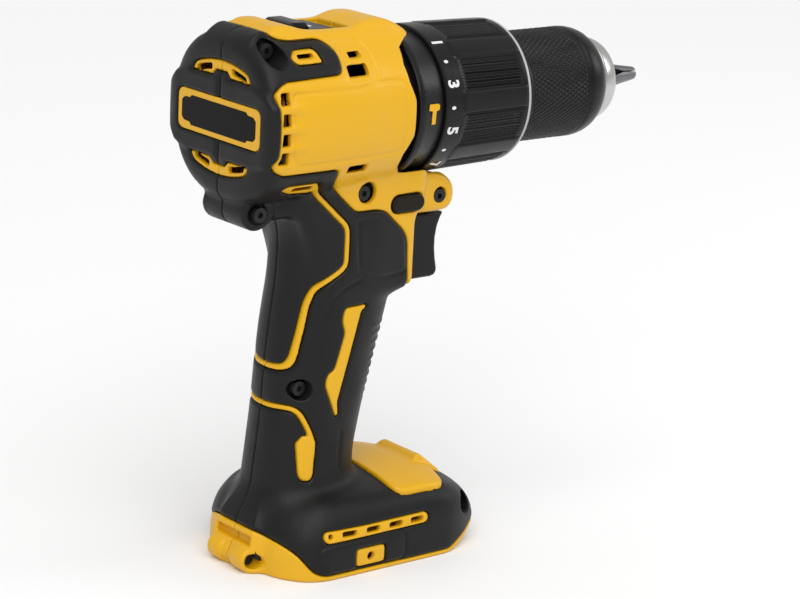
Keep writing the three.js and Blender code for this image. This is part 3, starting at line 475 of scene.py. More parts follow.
def relief(x, y, z):
    """Height of the fine surface detail, in millimetres: outward positive."""
    side = (np.abs(y) > RELIEF_FROM_Y).astype(F)
    groove = -crease(polygon(x, z, rounded(LABEL, 2)), 0.45, 0.55)
    groove = groove - 0.5 * np.clip(0.5 - polygon(x, z, rounded(VENT_DIP, 1.5)), 0, 1)
    pad = polygon(x, z, rounded(FOOT_PAD, 3.5))
    raised = 0.2 * np.clip(0.5 - pad / 0.8, 0, 1) - crease(pad, 0.55, 0.6)
    groove = groove - crease(polyline(x, z, FLUTE), 0.6, 0.7)
    for line in GRIP_LINES:
        groove = groove - crease(polyline(x, z, rounded_line(line, 2.5)), 0.4, 0.6)
    for at in WINDOW_SLOTS:
        scoop = np.exp(-((z - at) / 2.1) ** 4) * np.clip((19 - x) / 9, 0, 1) * np.clip((x - 6) / 2, 0, 1)
        groove = groove - 0.8 * scoop
    low, high = RIBS_Z
    ribs_at = np.clip((x - RIBS_X) / 2, 0, 1) * np.clip((z - low) / 3, 0, 1) * np.clip((high - z) / 3, 0, 1)
    ribs = RIB_HEIGHT * np.sin(z * (2 * math.pi / RIB_PITCH)) * ribs_at
    return (side * groove + side * raised + ribs).astype(F)


# ---------------------------------------------------------------- grids and surface nets

def grid_axis(low, high):
    return np.arange(low, high + CELL, CELL, dtype=F)


GX = grid_axis(-1.5, 113)[:, None, None]
GY = grid_axis(-34.5, 1.0)[None, :, None]
GZ = grid_axis(-168.5, 35)[None, None, :]


def surface_nets(field):
    """Vertices in grid units and quads of the zero surface of a field, negative inside."""
    solid = field < 0
    corners = np.zeros(tuple(s - 1 for s in field.shape), np.uint8)
    offsets = [(i, j, k) for i in (0, 1) for j in (0, 1) for k in (0, 1)]

    def part(a, o):
        return a[tuple(slice(o[n], a.shape[n] - 1 + o[n]) for n in range(3))]

    for o in offsets:
        corners += part(solid, o)
    active = (corners > 0) & (corners < 8)
    cells = np.argwhere(active)
    index = np.full(active.shape, -1, np.int32)
    index[active] = np.arange(len(cells), dtype=np.int32)
    value = {o: part(field, o)[active] for o in offsets}
    total = np.zeros((len(cells), 3), F)
    count = np.zeros(len(cells), F)
    for a in offsets:
        for n in range(3):
            if a[n]:
                continue
            b = tuple(a[m] + (m == n) for m in range(3))
            va, vb = value[a], value[b]
            crossing = (va < 0) != (vb < 0)
            t = np.where(crossing, va / np.where(crossing, va - vb, 1), 0)
            point = np.tile(np.array(a, F), (len(cells), 1))
            point[:, n] += t
            total += point * crossing[:, None]
            count += crossing
    verts = cells + total / count[:, None]
    quads = []
    for n in range(3):
        u, v = (n + 1) % 3, (n + 2) % 3
        low = [slice(1, s - 1) for s in field.shape]
        high = list(low)
        low[n] = slice(0, field.shape[n] - 1)
        high[n] = slice(1, field.shape[n])
        s0, s1 = solid[tuple(low)], solid[tuple(high)]
        start = np.array([0 if m == n else 1 for m in range(3)])
        for change, flip in ((s0 & ~s1, False), (~s0 & s1, True)):
            at = np.argwhere(change) + start
            ring = []
            for du, dv in ((1, 1), (0, 1), (0, 0), (1, 0)):
                c = at.copy()
                c[:, u] -= du
                c[:, v] -= dv
                ring.append(index[c[:, 0], c[:, 1], c[:, 2]])
            quads.append(np.stack(ring[::-1] if flip else ring, 1))
    return verts, np.concatenate(quads)


def link(name, data):
    """A new object in the scene."""
    made = bpy.data.objects.new(name, data)
    bpy.context.scene.collection.objects.link(made)
    return made


def smooth_shade(piece):
    piece.data.polygons.foreach_set("use_smooth", [True] * len(piece.data.polygons))


def apply_modifier(piece, name):
    bpy.context.view_layer.objects.active = piece
    bpy.ops.object.modifier_apply(modifier=name)


def mesh_object(name, verts, faces, smooth=True):
    mesh = bpy.data.meshes.new(name)
    mesh.from_pydata([tuple(v) for v in np.asarray(verts, float).tolist()], [], [tuple(f) for f in faces])
    mesh.validate()
    piece = link(name, mesh)
    if smooth:
        smooth_shade(piece)
    return piece


def field_object(name, field, mirrored, keep):
    """The surface of a field as a piece. keep is the share of its faces that stays."""
    verts, quads = surface_nets(field)
    points = verts * CELL + np.array([GX[0, 0, 0], GY[0, 0, 0], GZ[0, 0, 0]])
    if mirrored:
        points[:, 1] *= -1
        quads = quads[:, ::-1]
    piece = mesh_object(name, to_row(points), quads.tolist())
    thin = piece.modifiers.new("thin", "DECIMATE")
    thin.ratio = keep
    apply_modifier(piece, "thin")
    smooth_shade(piece)
    return piece


COVER_BED, COVER_GAP = 1.3, 0.12   # the bed sunk into the foot under its cover, and the gap round it
OPENING_WALL = 1.9                 # wall inside the battery channel and the selector opening
GRIP_PROUD = 0.2                   # the soft grip stands out this much
MEET = 0.1                         # each colour stops this far from the line where they meet
POCKET_WALL = 1.5


def cover_plan(x, y, z):
    return np.maximum(polygon(x, np.abs(y), rounded(TOP_PLATE, 3)), np.abs(z + 139) - 13).astype(F)


def shell_fields():
    """The yellow and black fields of a half, the screw pockets and the black lining round those."""
    plain = outer_form(GX, GY, GZ)
    form = np.maximum(plain - relief(GX, GY, GZ), np.abs(GY) - HOUSING_HALF)
    form = np.maximum(form, np.minimum(COVER_GAP - cover_plan(GX, GY, GZ), plain + COVER_BED))
    mask = black_mask(GX, GY, GZ)
    cut, floored = openings(GX, GY, GZ)
    hollow = smax(form + WALL, OPENING_WALL - floored, 1.0)
    boss = BOSS_R - np.sqrt((GX - BOSS_X) ** 2 + (GZ - BOSS_Z) ** 2)
    hollow = np.maximum(hollow, boss)
    yellow_skin = smin(form + SKIN + 0.15, smax(form, MEET - mask, 0.9), 0.5)
    black_skin = smax(smax(form - GRIP_PROUD, mask + MEET, 1.3), -(form + SKIN), 0.3)
    seam = GY + SEAM
    rear = rear_slots(GX, GY, GZ)
    yellow = smax(np.maximum(yellow_skin, -hollow), -np.minimum(cut, rear), 0.5)
    yellow = smax(yellow, seam, 0.3)
    black = smax(smax(black_skin, -cut, 0.6), seam, 0.3)
    pockets = screw_recesses(GX, GY, GZ)
    liner = np.maximum(np.maximum(pockets - POCKET_WALL, plain + 0.6), mask)
    return yellow, black, pockets, liner


def housing_halves():
    yellow, black, pockets, liner = shell_fields()
    lined_yellow = np.maximum(yellow, MEET - liner)
    lined_black = np.minimum(black, np.maximum(liner, GY + SEAM))
    kinds = [("housing", yellow, lined_yellow, "yellow_plastic", 0.4),
             ("overmould", black, lined_black, "soft_grip", 0.6)]
    made = []
    for side in ("right", "left"):
        for kind, field, lined, finish, keep in kinds:
            mirrored = side == "left"
            shaped = field if mirrored else smax(lined, -pockets, 0.4)
            name = kind + "_" + side
            piece = field_object("looks_" + name, shaped, mirrored, keep)
            made.append((piece, "body", [name], finish))
    return made


# ---------------------------------------------------------------- surfaces from a profile or an outline

def lathe(name, profile, steps, shape=None):
    """A closed profile of (x, r) turned about the drill axis. shape(x, r, angle) may change r."""
    angle = np.linspace(0, 2 * math.pi, steps, endpoint=False)
    px, pr = np.array(profile, float).T[:, :, None]
    px, pr, angle = np.broadcast_arrays(px, pr, angle[None, :])
    if shape:
        pr = shape(px, pr, angle)
    points = np.stack([px, -pr * np.cos(angle), pr * np.sin(angle)], -1).reshape(-1, 3)
    rows = len(profile)
    faces = []
    for i in range(rows):
        a, b = i * steps, ((i + 1) % rows) * steps
        for j in range(steps):
            k = (j + 1) % steps
            faces.append((a + j, b + j, b + k, a + k))
    return tidy_normals(mesh_object(name, to_row(points), faces))


def tidy_normals(piece, sharp_degrees=38):
    """Faces turned outward, and edges sharper than the angle kept sharp."""
    mesh = bmesh.new()
    mesh.from_mesh(piece.data)
    bmesh.ops.recalc_face_normals(mesh, faces=mesh.faces)
    for edge in mesh.edges:
        if len(edge.link_faces) == 2 and edge.calc_face_angle(0) > math.radians(sharp_degrees):
            edge.smooth = False
    mesh.to_mesh(piece.data)
    mesh.free()
    return piece


def fine(points, step):
    """The profile with extra points so that no step is longer than the one given."""
    out = []
    for a, b in zip(points, points[1:]):
        n = max(1, int(math.dist(a, b) / step))
        for i in range(n):
            t = i / n
            out.append((a[0] + (b[0] - a[0]) * t, a[1] + (b[1] - a[1]) * t))
    return out + [points[-1]]


def ring_faces(n):
    """The two caps and the sides between two rings of n points."""
    caps = [tuple(range(n)), tuple(range(2 * n - 1, n - 1, -1))]
    return caps + [(i, (i + 1) % n, (i + 1) % n + n, i + n) for i in range(n)]


def prism(name, outline, axis, low, high, bevel=0.4, segments=3):
    """An outline in the two other axes, in their order, pushed out along an axis, with bevelled edges."""
    order = {"x": (1, 2), "y": (0, 2), "z": (0, 1)}[axis]
    n = "xyz".index(axis)
    verts = []
    for level in (low, high):
        for p in outline:
            v = [0.0, 0.0, 0.0]
            v[n] = level
            v[order[0]], v[order[1]] = p
            verts.append(v)
    piece = mesh_object(name, to_row(verts), ring_faces(len(outline)), smooth=False)
    tidy_normals(piece, 30)
    if bevel:
        soft = piece.modifiers.new("edges", "BEVEL")
        soft.width = bevel / 1000
        soft.segments = segments
        soft.limit_method = "ANGLE"
        soft.angle_limit = math.radians(50)
    smooth_shade(piece)
    return piece


def round_rect(x0, x1, z0, z1, r, steps=5):
    return rounded([(x0, z0), (x1, z0), (x1, z1), (x0, z1)], r, steps)


# ---------------------------------------------------------------- chuck and collars

ROUND_STEPS = 160
SLEEVE_X = (124.4, 167.0)
SLEEVE_R = 20.95
KNURL_REAR, KNURL_FRONT = 127.0, 155.5
KNURLS = 70
KNURL_PITCH = 3.0
KNURL_DEPTH = 0.65


def knurl(x, r, angle):
    """Crossed grooves on the outside of the sleeve, faded out at both ends."""
    outer = (r > 20.6) & (x > KNURL_REAR) & (x < KNURL_FRONT)
    fade = np.clip((x - KNURL_REAR) / 0.8, 0, 1) * np.clip((KNURL_FRONT - x) / 0.8, 0, 1)
    turn = angle * KNURLS / 2
    along = (x - KNURL_REAR) * (2 * math.pi / KNURL_PITCH)
    cut = np.abs(np.sin(turn + along / 2)) * np.abs(np.sin(turn - along / 2))
    return np.where(outer, r - KNURL_DEPTH * (1 - np.sqrt(cut)) * fade, r)


def chuck_sleeve():
    rear, front = SLEEVE_X
    step = 0.42
    tail = [(rear, 19.8), (rear + 0.2, 20.5), (rear + 0.8, 20.9), (125.8, 20.9), (126.1, 20.5), (126.4, 20.5)]
    outer = tail + fine([(126.6, SLEEVE_R), (KNURL_FRONT + 0.4, SLEEVE_R)], step)
    outer += [(156.3, 20.6), (156.6, 20.6), (157, 20.9), (158.6, SLEEVE_R), (160.4, 20.8), (162.2, 20.4)]
    outer += [(163.8, 19.8), (165.2, 18.9), (166.3, 17.9), (166.8, 17.2), (front, 16.8)]
    inner = [(front, 16.5), (165.6, 17.2), (163.6, 19.2), (126.8, 19.2), (126.8, 12), (rear, 12)]
    return lathe("looks_chuck_sleeve", outer + inner, 480, knurl)


COLLAR_X = (80.6, 124.0)
COLLAR_REAR_R = 27.3
COLLAR_FRONT_R = 26.4
PADDLES = 8
FIRST_PADDLE = math.radians(5.6)
PADDLE_RISE, PADDLE_HALF = 0.3, 4.0
RIBS_PER_TURN = PADDLES * 19
RIBS_FROM, RIBS_TO = 89.8, 118.2
MOAT_AT, MOAT_DEPTH = 4.4, 0.5     # the groove down both sides of a paddle


def collar_shape(x, r, angle):
    """Smooth raised paddles with fine ribs in the recesses between them."""
    pitch = 2 * math.pi / PADDLES
    local = (angle - FIRST_PADDLE + pitch / 2) % pitch - pitch / 2
    across = np.abs(local) * 27
    paddle = np.clip((PADDLE_HALF - across) / 0.7, 0, 1)
    paddle = paddle * np.clip((x - 88.6 - np.maximum(across - 2.6, 0)) / 0.8, 0, 1)
    paddle = paddle * paddle * (3 - 2 * paddle)
    field = np.clip((x - RIBS_FROM) / 0.9, 0, 1) * np.clip((RIBS_TO - x) / 0.9, 0, 1)
    field = field * np.clip((across - 4.6) / 0.5, 0, 1)
    ribs = 0.5 + 0.5 * np.cos((local + pitch / 2) * RIBS_PER_TURN + math.pi)
    valley = field * (0.55 - 0.5 * ribs)
    outer = r > 24.5
    moat = crease(across - MOAT_AT, MOAT_DEPTH, 0.45)
    moat = moat * np.clip((x - 88.8) / 0.8, 0, 1) * np.clip((119 - x) / 0.9, 0, 1)
    rise = PADDLE_RISE * paddle * np.clip((120.2 - x) / 0.8, 0, 1)
    return np.where(outer, r - valley - moat + rise, r)


def torque_collar():
    rear, front = COLLAR_X
    step = 0.7
    grip = fine([(81.4, COLLAR_REAR_R), (120.2, COLLAR_FRONT_R)], step)
    outer = [(rear, 24.3), (rear, 26.8), (rear + 0.3, 27.2)] + grip
    outer += [(121.2, 26.3), (122.4, 25.7), (123.4, 24.8), (123.9, 24.0), (front, 23.2)]
    inner = [(front, 21.9), (123.2, 21.5), (121.6, 21.5), (121, 22.6), (rear + 0.4, 24.2)]
    return lathe("looks_torque_collar", outer + inner, 704, collar_shape)


def painted_highlight_rim():
    """A thin raised ring round the front edge of the torque collar, coloured grey as a painted highlight
    along that edge.
    """
    profile = [(120.3, 26.2), (120.4, 26.5), (120.8, 26.62), (121.3, 26.5), (121.5, 26.2), (121, 25.8)]
    return lathe("painted_highlight_rim", profile, ROUND_STEPS)


def mode_collar():
    profile = [(68.6, 25.4), (68.6, 27.1), (69.1, 27.6), (70.6, 27.75), (71.6, 27.5), (72.2, 26.6),
               (72.6, 26.4), (79.8, 26.3), (80.2, 26.1), (80.3, 25.4)]
    return lathe("looks_mode_collar", profile, ROUND_STEPS)


JAW_ANGLES = (90, 210, 330)
JAW_TILT = math.radians(17)
JAW_AXIS_TIP_R = 1.6
JAW_HOLE_R = 4.0


def chuck_nose():
    """The bare metal ring at the front, with a slanting hole for each jaw."""
    profile = [(166, 6.9), (166, 16.0), (166.5, 16.4), (167.6, 16.5), (168, 16.7), (168.6, 16.7),
               (172.6, 15.6), (174.1, 14.8), (174.7, 14.3), (175, 13.7), (175, 9.4), (174.6, 9.1),
               (174.2, 7.0), (173.8, 6.9)]
    nose = lathe("looks_chuck_nose", profile, ROUND_STEPS)
    for degrees in JAW_ANGLES:
        turn = math.radians(degrees)
        outward = Vector((0, math.cos(turn), math.sin(turn)))
        tip = Vector((LENGTH, 0, 0)) + outward * JAW_AXIS_TIP_R
        along = Vector((-math.cos(JAW_TILT), 0, 0)) + outward * math.sin(JAW_TILT)
        drill_out(nose, tip, tip + along * 40, JAW_HOLE_R)
    return tidy_normals(nose)


def drill_out(piece, start, end, radius):
    """A round hole from start to end, cut with a boolean and applied."""
    mesh = bmesh.new()
    middle, along = (start + end) / 2, end - start
    turn = along.to_track_quat("Z", "Y").to_matrix().to_4x4()
    bmesh.ops.create_cone(mesh, cap_ends=True, segments=48, radius1=radius / 1000, radius2=radius / 1000,
                          depth=along.length / 1000, matrix=Matrix.Translation(to_row(middle)) @ turn)
    data = bpy.data.meshes.new("hole")
    mesh.to_mesh(data)
    mesh.free()
    tool = link("hole", data)
    cut = piece.modifiers.new("hole", "BOOLEAN")
    cut.object = tool
    cut.solver = "EXACT"
    apply_modifier(piece, "hole")
    bpy.data.objects.remove(tool)


# ---------------------------------------------------------------- marks printed on the collars

def on_drum(points, x0, angle0, radius):
    """Flat points laid on a drum: the reading direction runs downward round it, height runs forward."""
    out = []
    for u, v in points:
        angle = angle0 - u / radius
        out.append((x0 + v, -radius * math.cos(angle), radius * math.sin(angle)))
    return out


def mark(name, outline, x0, degrees, radius, thick=0.14):
    """A thin printed shape on a drum, from its flat outline."""
    angle = math.radians(degrees)
    verts = on_drum(outline, x0, angle, radius) + on_drum(outline, x0, angle, radius - thick)
    return tidy_normals(mesh_object(name, to_row(verts), ring_faces(len(outline)), smooth=False))


def numeral(name, text, x0, degrees, radius, height):
    """A number on a drum, made from Blender's own font."""
    curve = bpy.data.curves.new(name, "FONT")
    curve.body = text
    curve.align_x = "CENTER"
    curve.size = height * 1.4
    curve.offset = 0.045 * height
    curve.extrude = 0.06
    flat = link(name + "_flat", curve)
    bpy.context.view_layer.update()
    mesh = bpy.data.meshes.new_from_object(flat)
    bpy.data.objects.remove(flat)
    angle = math.radians(degrees)
    for vertex in mesh.vertices:
        u, v, w = vertex.co
        lift = radius + w
        turn = angle - u / radius
        vertex.co = to_row([(x0 + v, -lift * math.cos(turn), lift * math.sin(turn))])[0]
    mesh.name = name
    return link(name, mesh)


COLLAR_NUMBERS = 15
FIRST_NUMBER_ANGLE = 56.6
NUMBER_STEP = 18
NUMBER_R, DOT_R = 27.32, 27.3
HAMMER = [(-3.9, -3.4), (-1.6, -4.0), (-1.2, -1.4), (3.9, -1.4), (3.9, 1.4), (-1.2, 1.4), (-1.6, 3.6),
          (-3.4, 3.9), (-3.9, 2.6)]


def collar_marks():
    """Odd numbers with a dot between each two, round the rear of the torque collar."""
    made = []
    for i in range(COLLAR_NUMBERS):
        degrees = FIRST_NUMBER_ANGLE - i * NUMBER_STEP
        if i % 2 == 0:
            made.append(numeral("number_%d" % (i + 1), str(i + 1), 82.4, degrees, NUMBER_R, 4.7))
        else:
            dot = [(0.65 * math.cos(a), 0.95 * math.sin(a)) for a in np.linspace(0, 2 * math.pi, 13)[:-1]]
            made.append(mark("dot_%d" % (i + 1), dot, 84.0, degrees, DOT_R))
    return made


def hammer_mark():
    return mark("hammer_mark", [(0.95 * u, 0.62 * v) for u, v in HAMMER], 75.6, -1.0, 26.62)


# ---------------------------------------------------------------- trim and controls

COVER_TOP, COVER_SINK = 1.3, 1.1   # how far the cover stands out of the foot and sinks into it
COVER_STEP = 0.5
WEDGE_SIDE = [(83, -141), (84.8, -138), (88.4, -134.9), (90.6, -134.8), (98.4, -141.8), (98.4, -147),
              (83, -147)]
WEDGE_HALF, WEDGE_LEAN, WEDGE_Z = 11.2, 0.4, -136
LENS_GAP = 0.15


def cover():
    """The raised yellow plate on top of the foot with the lamp wedge on it."""
    x = np.arange(28, 102, COVER_STEP, dtype=F)[:, None, None]
    y = np.arange(-31, 31.1, COVER_STEP, dtype=F)[None, :, None]
    z = np.arange(-152, -128, COVER_STEP, dtype=F)[None, None, :]
    below = -(foot(x, y, z) + COVER_SINK)
    skin = smax(foot(x, y, z) - COVER_TOP, below, 0.5)
    lean = np.abs(y) - WEDGE_HALF + WEDGE_LEAN * (z - WEDGE_Z)
    wedge = smax(polygon(x, z, rounded(WEDGE_SIDE, 0.8)), lean, 0.9)
    wedge = smax(wedge, below, 0.4)
    plate = smax(skin, cover_plan(x, y, z) + 0.05, 0.7)
    whole = smin(plate, wedge, 0.8)
    whole = smax(whole, -(handle(x, y, z) - 0.6), 0.6)
    low, high = head_box("led_lens")
    low, high = low - LENS_GAP, high + LENS_GAP
    pocket = np.maximum(np.maximum(low[0] - x, x - high[0]), np.maximum(np.abs(y) - high[1], low[2] - z))
    whole = smax(whole, -pocket, 0.4)
    verts, quads = surface_nets(whole)
    points = verts * COVER_STEP + np.array([x[0, 0, 0], y[0, 0, 0], z[0, 0, 0]])
    return mesh_object("looks_foot_cover", to_row(points), quads.tolist())


def head_box(name):
    """The box of a CAD node in millimetres in the head frame."""
    low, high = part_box(name)
    shift = np.array([LENGTH / 2, 0, -AXIS_HEIGHT])
    return np.array(low) * 1000 + shift, np.array(high) * 1000 + shift


BADGE_STEPS = [(-16.4, -5.6), (16.4, -5.6), (17, -4.6), (20.6, -4.4), (22, -3.2), (22, 2.8), (20.6, 4),
               (17, 4.2), (16.4, 5.1), (-16.4, 5.1), (-17, 4.2), (-20.6, 4), (-22, 2.8), (-22, -3.2),
               (-20.6, -4.4), (-17, -4.6)]


def badge():
    """The stepped black plate at the rear, on a yellow border."""
    border = prism("badge_border", round_rect(-24.4, 24.4, -7.5, 7.1, 3.4, 7), "x", 0.5, 1.6, 0.25, 3)
    plate = prism("looks_rear_badge", rounded(BADGE_STEPS, 0.5, 3), "x", 0.3, 1.2, 0.12, 2)
    return border, plate


TAIL_SCREW_R = 2.4


def tail_screw():
    """The screw head deep in the boss under the foot's tail, right side only."""
    around = np.linspace(0, 2 * math.pi, 33)[:-1]
    head = [(BOSS_X + TAIL_SCREW_R * math.cos(t), BOSS_Z + TAIL_SCREW_R * math.sin(t)) for t in around]
    return prism("tail_screw", head, "y", -8.6, -7.2, 0.4, 3)


TRIGGER_REAR_X = 81.2
TRIGGER_FRONT = [(98.6, -42.6), (97.1, -44.6), (95.8, -47.8), (95.1, -52), (95.1, -56), (95.6, -60),
                 (96.4, -63.6), (96.6, -65.2)]
SPRING_ROOM = 6.8                  # the trigger's travel and a little more


def trigger():
    """The trigger, hollowed so that it can slide over its spring."""
    outline = [(TRIGGER_REAR_X, -41.7)] + TRIGGER_FRONT + [(95.3, -66.6), (93.6, -67), (TRIGGER_REAR_X, -67)]
    piece = prism("looks_trigger", outline, "y", -7.9, 7.9, 1.7, 4)
    apply_modifier(piece, "edges")
    low, high = head_box("trigger_spring")
    middle = (low + high) / 2
    start = Vector((low[0] - 4, middle[1], middle[2]))
    end = Vector((high[0] + SPRING_ROOM, middle[1], middle[2]))
    drill_out(piece, start, end, (high[2] - low[2]) / 2 + 0.6)
    return piece


BAR_ENDS, BAR_R = (69.4, 78), 3.1


def direction_bar():
    turn = np.linspace(-math.pi / 2, math.pi / 2, 12)
    rear, front = BAR_ENDS
    outline = [(front + BAR_R * math.cos(t), BAR_Z + BAR_R * math.sin(t)) for t in turn]
    outline += [(rear - BAR_R * math.cos(t), BAR_Z - BAR_R * math.sin(t)) for t in turn]
    return prism("looks_reversing_bar", outline, "y", -17.6, 17.6, 0.9, 4)


def selector():
    """The sliding plate on top, with its ridge, its mark and the black bed it slides on."""
    plate = prism("looks_speed_selector", round_rect(22.7, 42, -8.9, 8.9, 1.6), "z", 28.5, 30.2, 0.35)
    outline = [(23.4, 30), (33.4, 30), (31.6, 32.3), (30.8, 32.6), (25.6, 32.6), (24.6, 32.2)]
    ridge = prism("selector_ridge", outline, "y", -7.6, 7.6, 0.8, 4)
    bed = prism("selector_bed", round_rect(22.3, 48.5, -9.2, 9.2, 1.2), "z", 28.0, 28.35, 0)
    tick = prism("selector_mark", [(35.2, -3.8), (36.6, -3.8), (36.6, 3.8), (35.2, 3.8)], "z", 30.1, 30.3, 0)
    return plate, ridge, tick, bed


# ---------------------------------------------------------------- materials

FINISHES = {
    "yellow_plastic": dict(colour=(0.70, 0.375, 0.003), rough=(0.30, 0.42), grain=900, bump=0.06, shine=0.38),
    "soft_grip": dict(colour=(0.006, 0.006, 0.0062), rough=(0.36, 0.52), grain=1500, bump=0.3, shine=0.24),
    "black_plastic": dict(colour=(0.004, 0.004, 0.0041), rough=(0.24, 0.36), grain=1300, bump=0.12,
                          shine=0.24),
    "grey_plastic": dict(colour=(0.42, 0.42, 0.43), rough=(0.42, 0.52), grain=1300, bump=0.08),
    "bar_plastic": dict(colour=(0.012, 0.008, 0.004), rough=(0.36, 0.46), grain=1200, bump=0.10, shine=0.15),
    "steel": dict(colour=(0.55, 0.56, 0.58), rough=(0.24, 0.38), grain=700, bump=0.05, metal=1.0),
    "dark_steel": dict(colour=(0.16, 0.16, 0.17), rough=(0.28, 0.42), grain=900, bump=0.08, metal=0.9),
    "silver_metal": dict(colour=(0.52, 0.51, 0.50), rough=(0.20, 0.32), grain=600, bump=0.04, metal=1.0,
                         turned=True),
    "copper": dict(colour=(0.72, 0.33, 0.13), rough=(0.25, 0.38), grain=1500, bump=0.15, metal=1.0),
    "brass_insert": dict(colour=(0.72, 0.50, 0.20), rough=(0.24, 0.36), grain=900, bump=0.05, metal=1.0),
    "black_screw": dict(colour=(0.012, 0.012, 0.0125), rough=(0.32, 0.46), grain=900, bump=0.08, shine=0.25),
    "board": dict(colour=(0.02, 0.13, 0.05), rough=(0.35, 0.5), grain=500, bump=0.08),
    "lens": dict(colour=(0.86, 0.89, 0.90), rough=(0.08, 0.14), grain=500, bump=0.03, clear=0.85),
    "print_white": dict(colour=(0.72, 0.72, 0.72), rough=(0.45, 0.55), grain=1600, bump=0.04),
    "badge_black": dict(colour=(0.002, 0.002, 0.002), rough=(0.22, 0.32), grain=1400, bump=0.04, shine=0.1),
}


MADE = {}


def material(name):
    """A procedural finish: fine grain in the bump and a slow change of roughness over the surface."""
    if name in MADE:
        return MADE[name]
    look = FINISHES[name]
    made = bpy.data.materials.new("finish_" + name)
    MADE[name] = made
    made.use_nodes = True
    nodes, links = made.node_tree.nodes, made.node_tree.links
    shader = nodes["Principled BSDF"]
    shader.inputs["Base Color"].default_value = (*look["colour"], 1)
    shader.inputs["Metallic"].default_value = look.get("metal", 0.0)
    shader.inputs["Specular IOR Level"].default_value = look.get("shine", 0.5)
    shader.inputs["Transmission Weight"].default_value = look.get("clear", 0.0)
    where = nodes.new("ShaderNodeTexCoord")
    slow = nodes.new("ShaderNodeTexNoise")
    slow.inputs["Scale"].default_value = 90
    slow.inputs["Detail"].default_value = 3
    links.new(where.outputs["Object"], slow.inputs["Vector"])
    ramp = nodes.new("ShaderNodeMapRange")
    ramp.inputs["From Min"].default_value = 0.3
    ramp.inputs["From Max"].default_value = 0.7
    ramp.inputs["To Min"].default_value, ramp.inputs["To Max"].default_value = look["rough"]
    links.new(slow.outputs["Fac"], ramp.inputs["Value"])
    links.new(ramp.outputs["Result"], shader.inputs["Roughness"])
    grain = nodes.new("ShaderNodeTexNoise")
    grain.inputs["Scale"].default_value = look["grain"]
    grain.inputs["Detail"].default_value = 2
    if look.get("turned"):
        stretch = nodes.new("ShaderNodeMapping")
        stretch.inputs["Scale"].default_value = (8, 0.4, 0.4)
        links.new(where.outputs["Object"], stretch.inputs["Vector"])
        links.new(stretch.outputs["Vector"], grain.inputs["Vector"])
    else:
        links.new(where.outputs["Object"], grain.inputs["Vector"])
    bump = nodes.new("ShaderNodeBump")
    bump.inputs["Strength"].default_value = look["bump"]
    bump.inputs["Distance"].default_value = 0.0003
    links.new(grain.outputs["Fac"], bump.inputs["Height"])
    links.new(bump.outputs["Normal"], shader.inputs["Normal"])
    return made


def dress(piece, finish):
    piece.data.materials.clear()
    piece.data.materials.append(material(finish))


# ---------------------------------------------------------------- put together

def place(piece, body, stands_for, finish, slot=None):
    """Give a piece its finish and the body it rides on, and hide the CAD nodes it stands for. The slot
    argument is not used.
    """
    dress(piece, finish)
    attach(piece, body)
    if stands_for:
        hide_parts(*stands_for)


def build():
    for row in housing_halves():
        place(*row)
    place(cover(), "body", ["foot_cover"], "yellow_plastic")
    place(chuck_sleeve(), "sleeve", ["chuck_sleeve"], "black_plastic")
    place(torque_collar(), "torque_collar", ["torque_collar"], "black_plastic")
    # painted highlight: the grey ring stands for the light caught along the collar's front edge
    place(painted_highlight_rim(), "torque_collar", [], "grey_plastic")
    place(mode_collar(), "mode_collar", ["mode_collar"], "black_plastic")
    place(chuck_nose(), "spindle", ["chuck_nose"], "silver_metal")
    for piece in collar_marks():
        place(piece, "torque_collar", [], "print_white", "grey_plastic")
    place(hammer_mark(), "mode_collar", [], "yellow_plastic")
    border, plate = badge()
    place(border, "body", [], "yellow_plastic")
    place(plate, "body", ["rear_badge"], "badge_black", "black_plastic")
    place(tail_screw(), "body", [], "black_screw", "dark_steel")
    place(trigger(), "trigger", ["trigger"], "black_plastic")
    place(direction_bar(), "reversing_bar", ["reversing_bar"], "bar_plastic")
    slider, ridge, tick, bed = selector()
    place(bed, "body", [], "black_plastic")
    place(slider, "selector", ["speed_selector"], "black_plastic")
    place(ridge, "selector", [], "black_plastic")
    place(tick, "selector", [], "print_white", "grey_plastic")


def dress_cad():
    """Every CAD node gets a finish: the screws the black screw finish, the gear case black plastic, the rest
    the finish named by its slot in the record.
    """
    for part in frame["record"]["subparts"]:
        name, slot = part["node"], part["material_slot"]
        node = frame["nodes"][name]
        finish = "black_screw" if name.startswith("screw_") else slot
        dress(node, "black_plastic" if name == "gear_case" else finish)


build()
dress_cad()


# ---------------------------------------------------------------- floor, light and camera

FLOOR_REACH = 30                   # metres, so that its far edge is out of sight


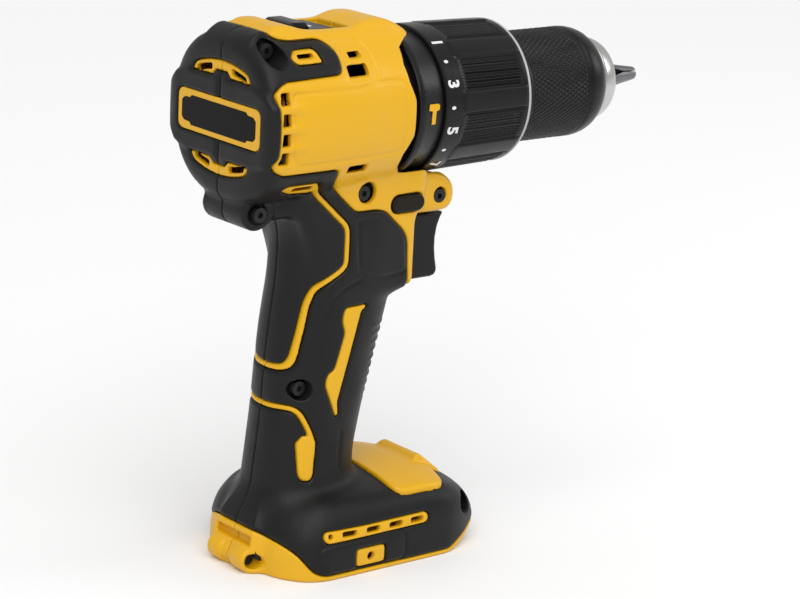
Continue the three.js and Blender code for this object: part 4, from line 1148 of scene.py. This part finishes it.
def studio():
    """A pale floor, an even white sky, a wide soft sun and two soft lamps."""
    corners = [(-FLOOR_REACH, -FLOOR_REACH, 0), (FLOOR_REACH, -FLOOR_REACH, 0), (FLOOR_REACH, FLOOR_REACH, 0),
               (-FLOOR_REACH, FLOOR_REACH, 0)]
    floor = mesh_object("floor", corners, [(0, 1, 2, 3)], smooth=False)
    pale = bpy.data.materials.new("floor_white")
    pale.use_nodes = True
    shader = pale.node_tree.nodes["Principled BSDF"]
    shader.inputs["Base Color"].default_value = (0.9, 0.9, 0.9, 1)
    shader.inputs["Roughness"].default_value = 0.7
    floor.data.materials.append(pale)
    world = bpy.data.worlds.new("studio")
    bpy.context.scene.world = world
    world.use_nodes = True
    world.node_tree.nodes["Background"].inputs["Color"].default_value = (1, 1, 1, 1)
    world.node_tree.nodes["Background"].inputs["Strength"].default_value = 0.62
    bpy.context.scene.view_settings.view_transform = "Standard"
    sky = bpy.data.lights.new("soft_sun", "SUN")
    sky.energy = 1.5
    sky.angle = math.radians(60)
    link("soft_sun", sky).rotation_euler = (math.radians(28), math.radians(-14), 0)
    lamp("key", (-0.75, -0.7, 0.7), 0.5, 2.2)
    lamp("rim", (0.9, -0.4, 0.6), 0.4, 1.6)


def lamp(name, at, size, power):
    light = bpy.data.lights.new(name, "AREA")
    light.size = size
    light.energy = power
    holder = link(name, light)
    holder.location = at
    aim = Vector((0, 0, 0.1)) - Vector(at)
    holder.rotation_euler = aim.to_track_quat("-Z", "Y").to_euler()


# Found by matching measured points of the drill with the photograph. Metres, and degrees for the turns.
CAMERA_AT = (-0.6496, -0.7758, 0.3669)
AZIMUTH, ELEVATION, ROLL = -39.4, 15.4, 2.9
LENS_MM = 126.05


def photo_camera():
    """The camera stands where the photograph was taken from: 39 degrees behind the right side, 15 above."""
    lens = bpy.data.cameras.new("photo_view")
    lens.lens = LENS_MM
    lens.sensor_width = 36
    lens.clip_end = 20
    azimuth, elevation, roll = [math.radians(degrees) for degrees in (AZIMUTH, ELEVATION, ROLL)]
    level = math.cos(elevation)
    back = Vector((math.sin(azimuth) * level, -math.cos(azimuth) * level, math.sin(elevation)))
    right = (-back).cross(Vector((0, 0, 1))).normalized()
    up = right.cross(-back)
    turned_right = right * math.cos(roll) + up * math.sin(roll)
    turned_up = up * math.cos(roll) - right * math.sin(roll)
    turn = Matrix((turned_right, turned_up, back)).transposed().to_4x4()
    holder = link("photo_view", lens)
    holder.matrix_world = Matrix.Translation(CAMERA_AT) @ turn
    bpy.context.scene.camera = holder


studio()
photo_camera()
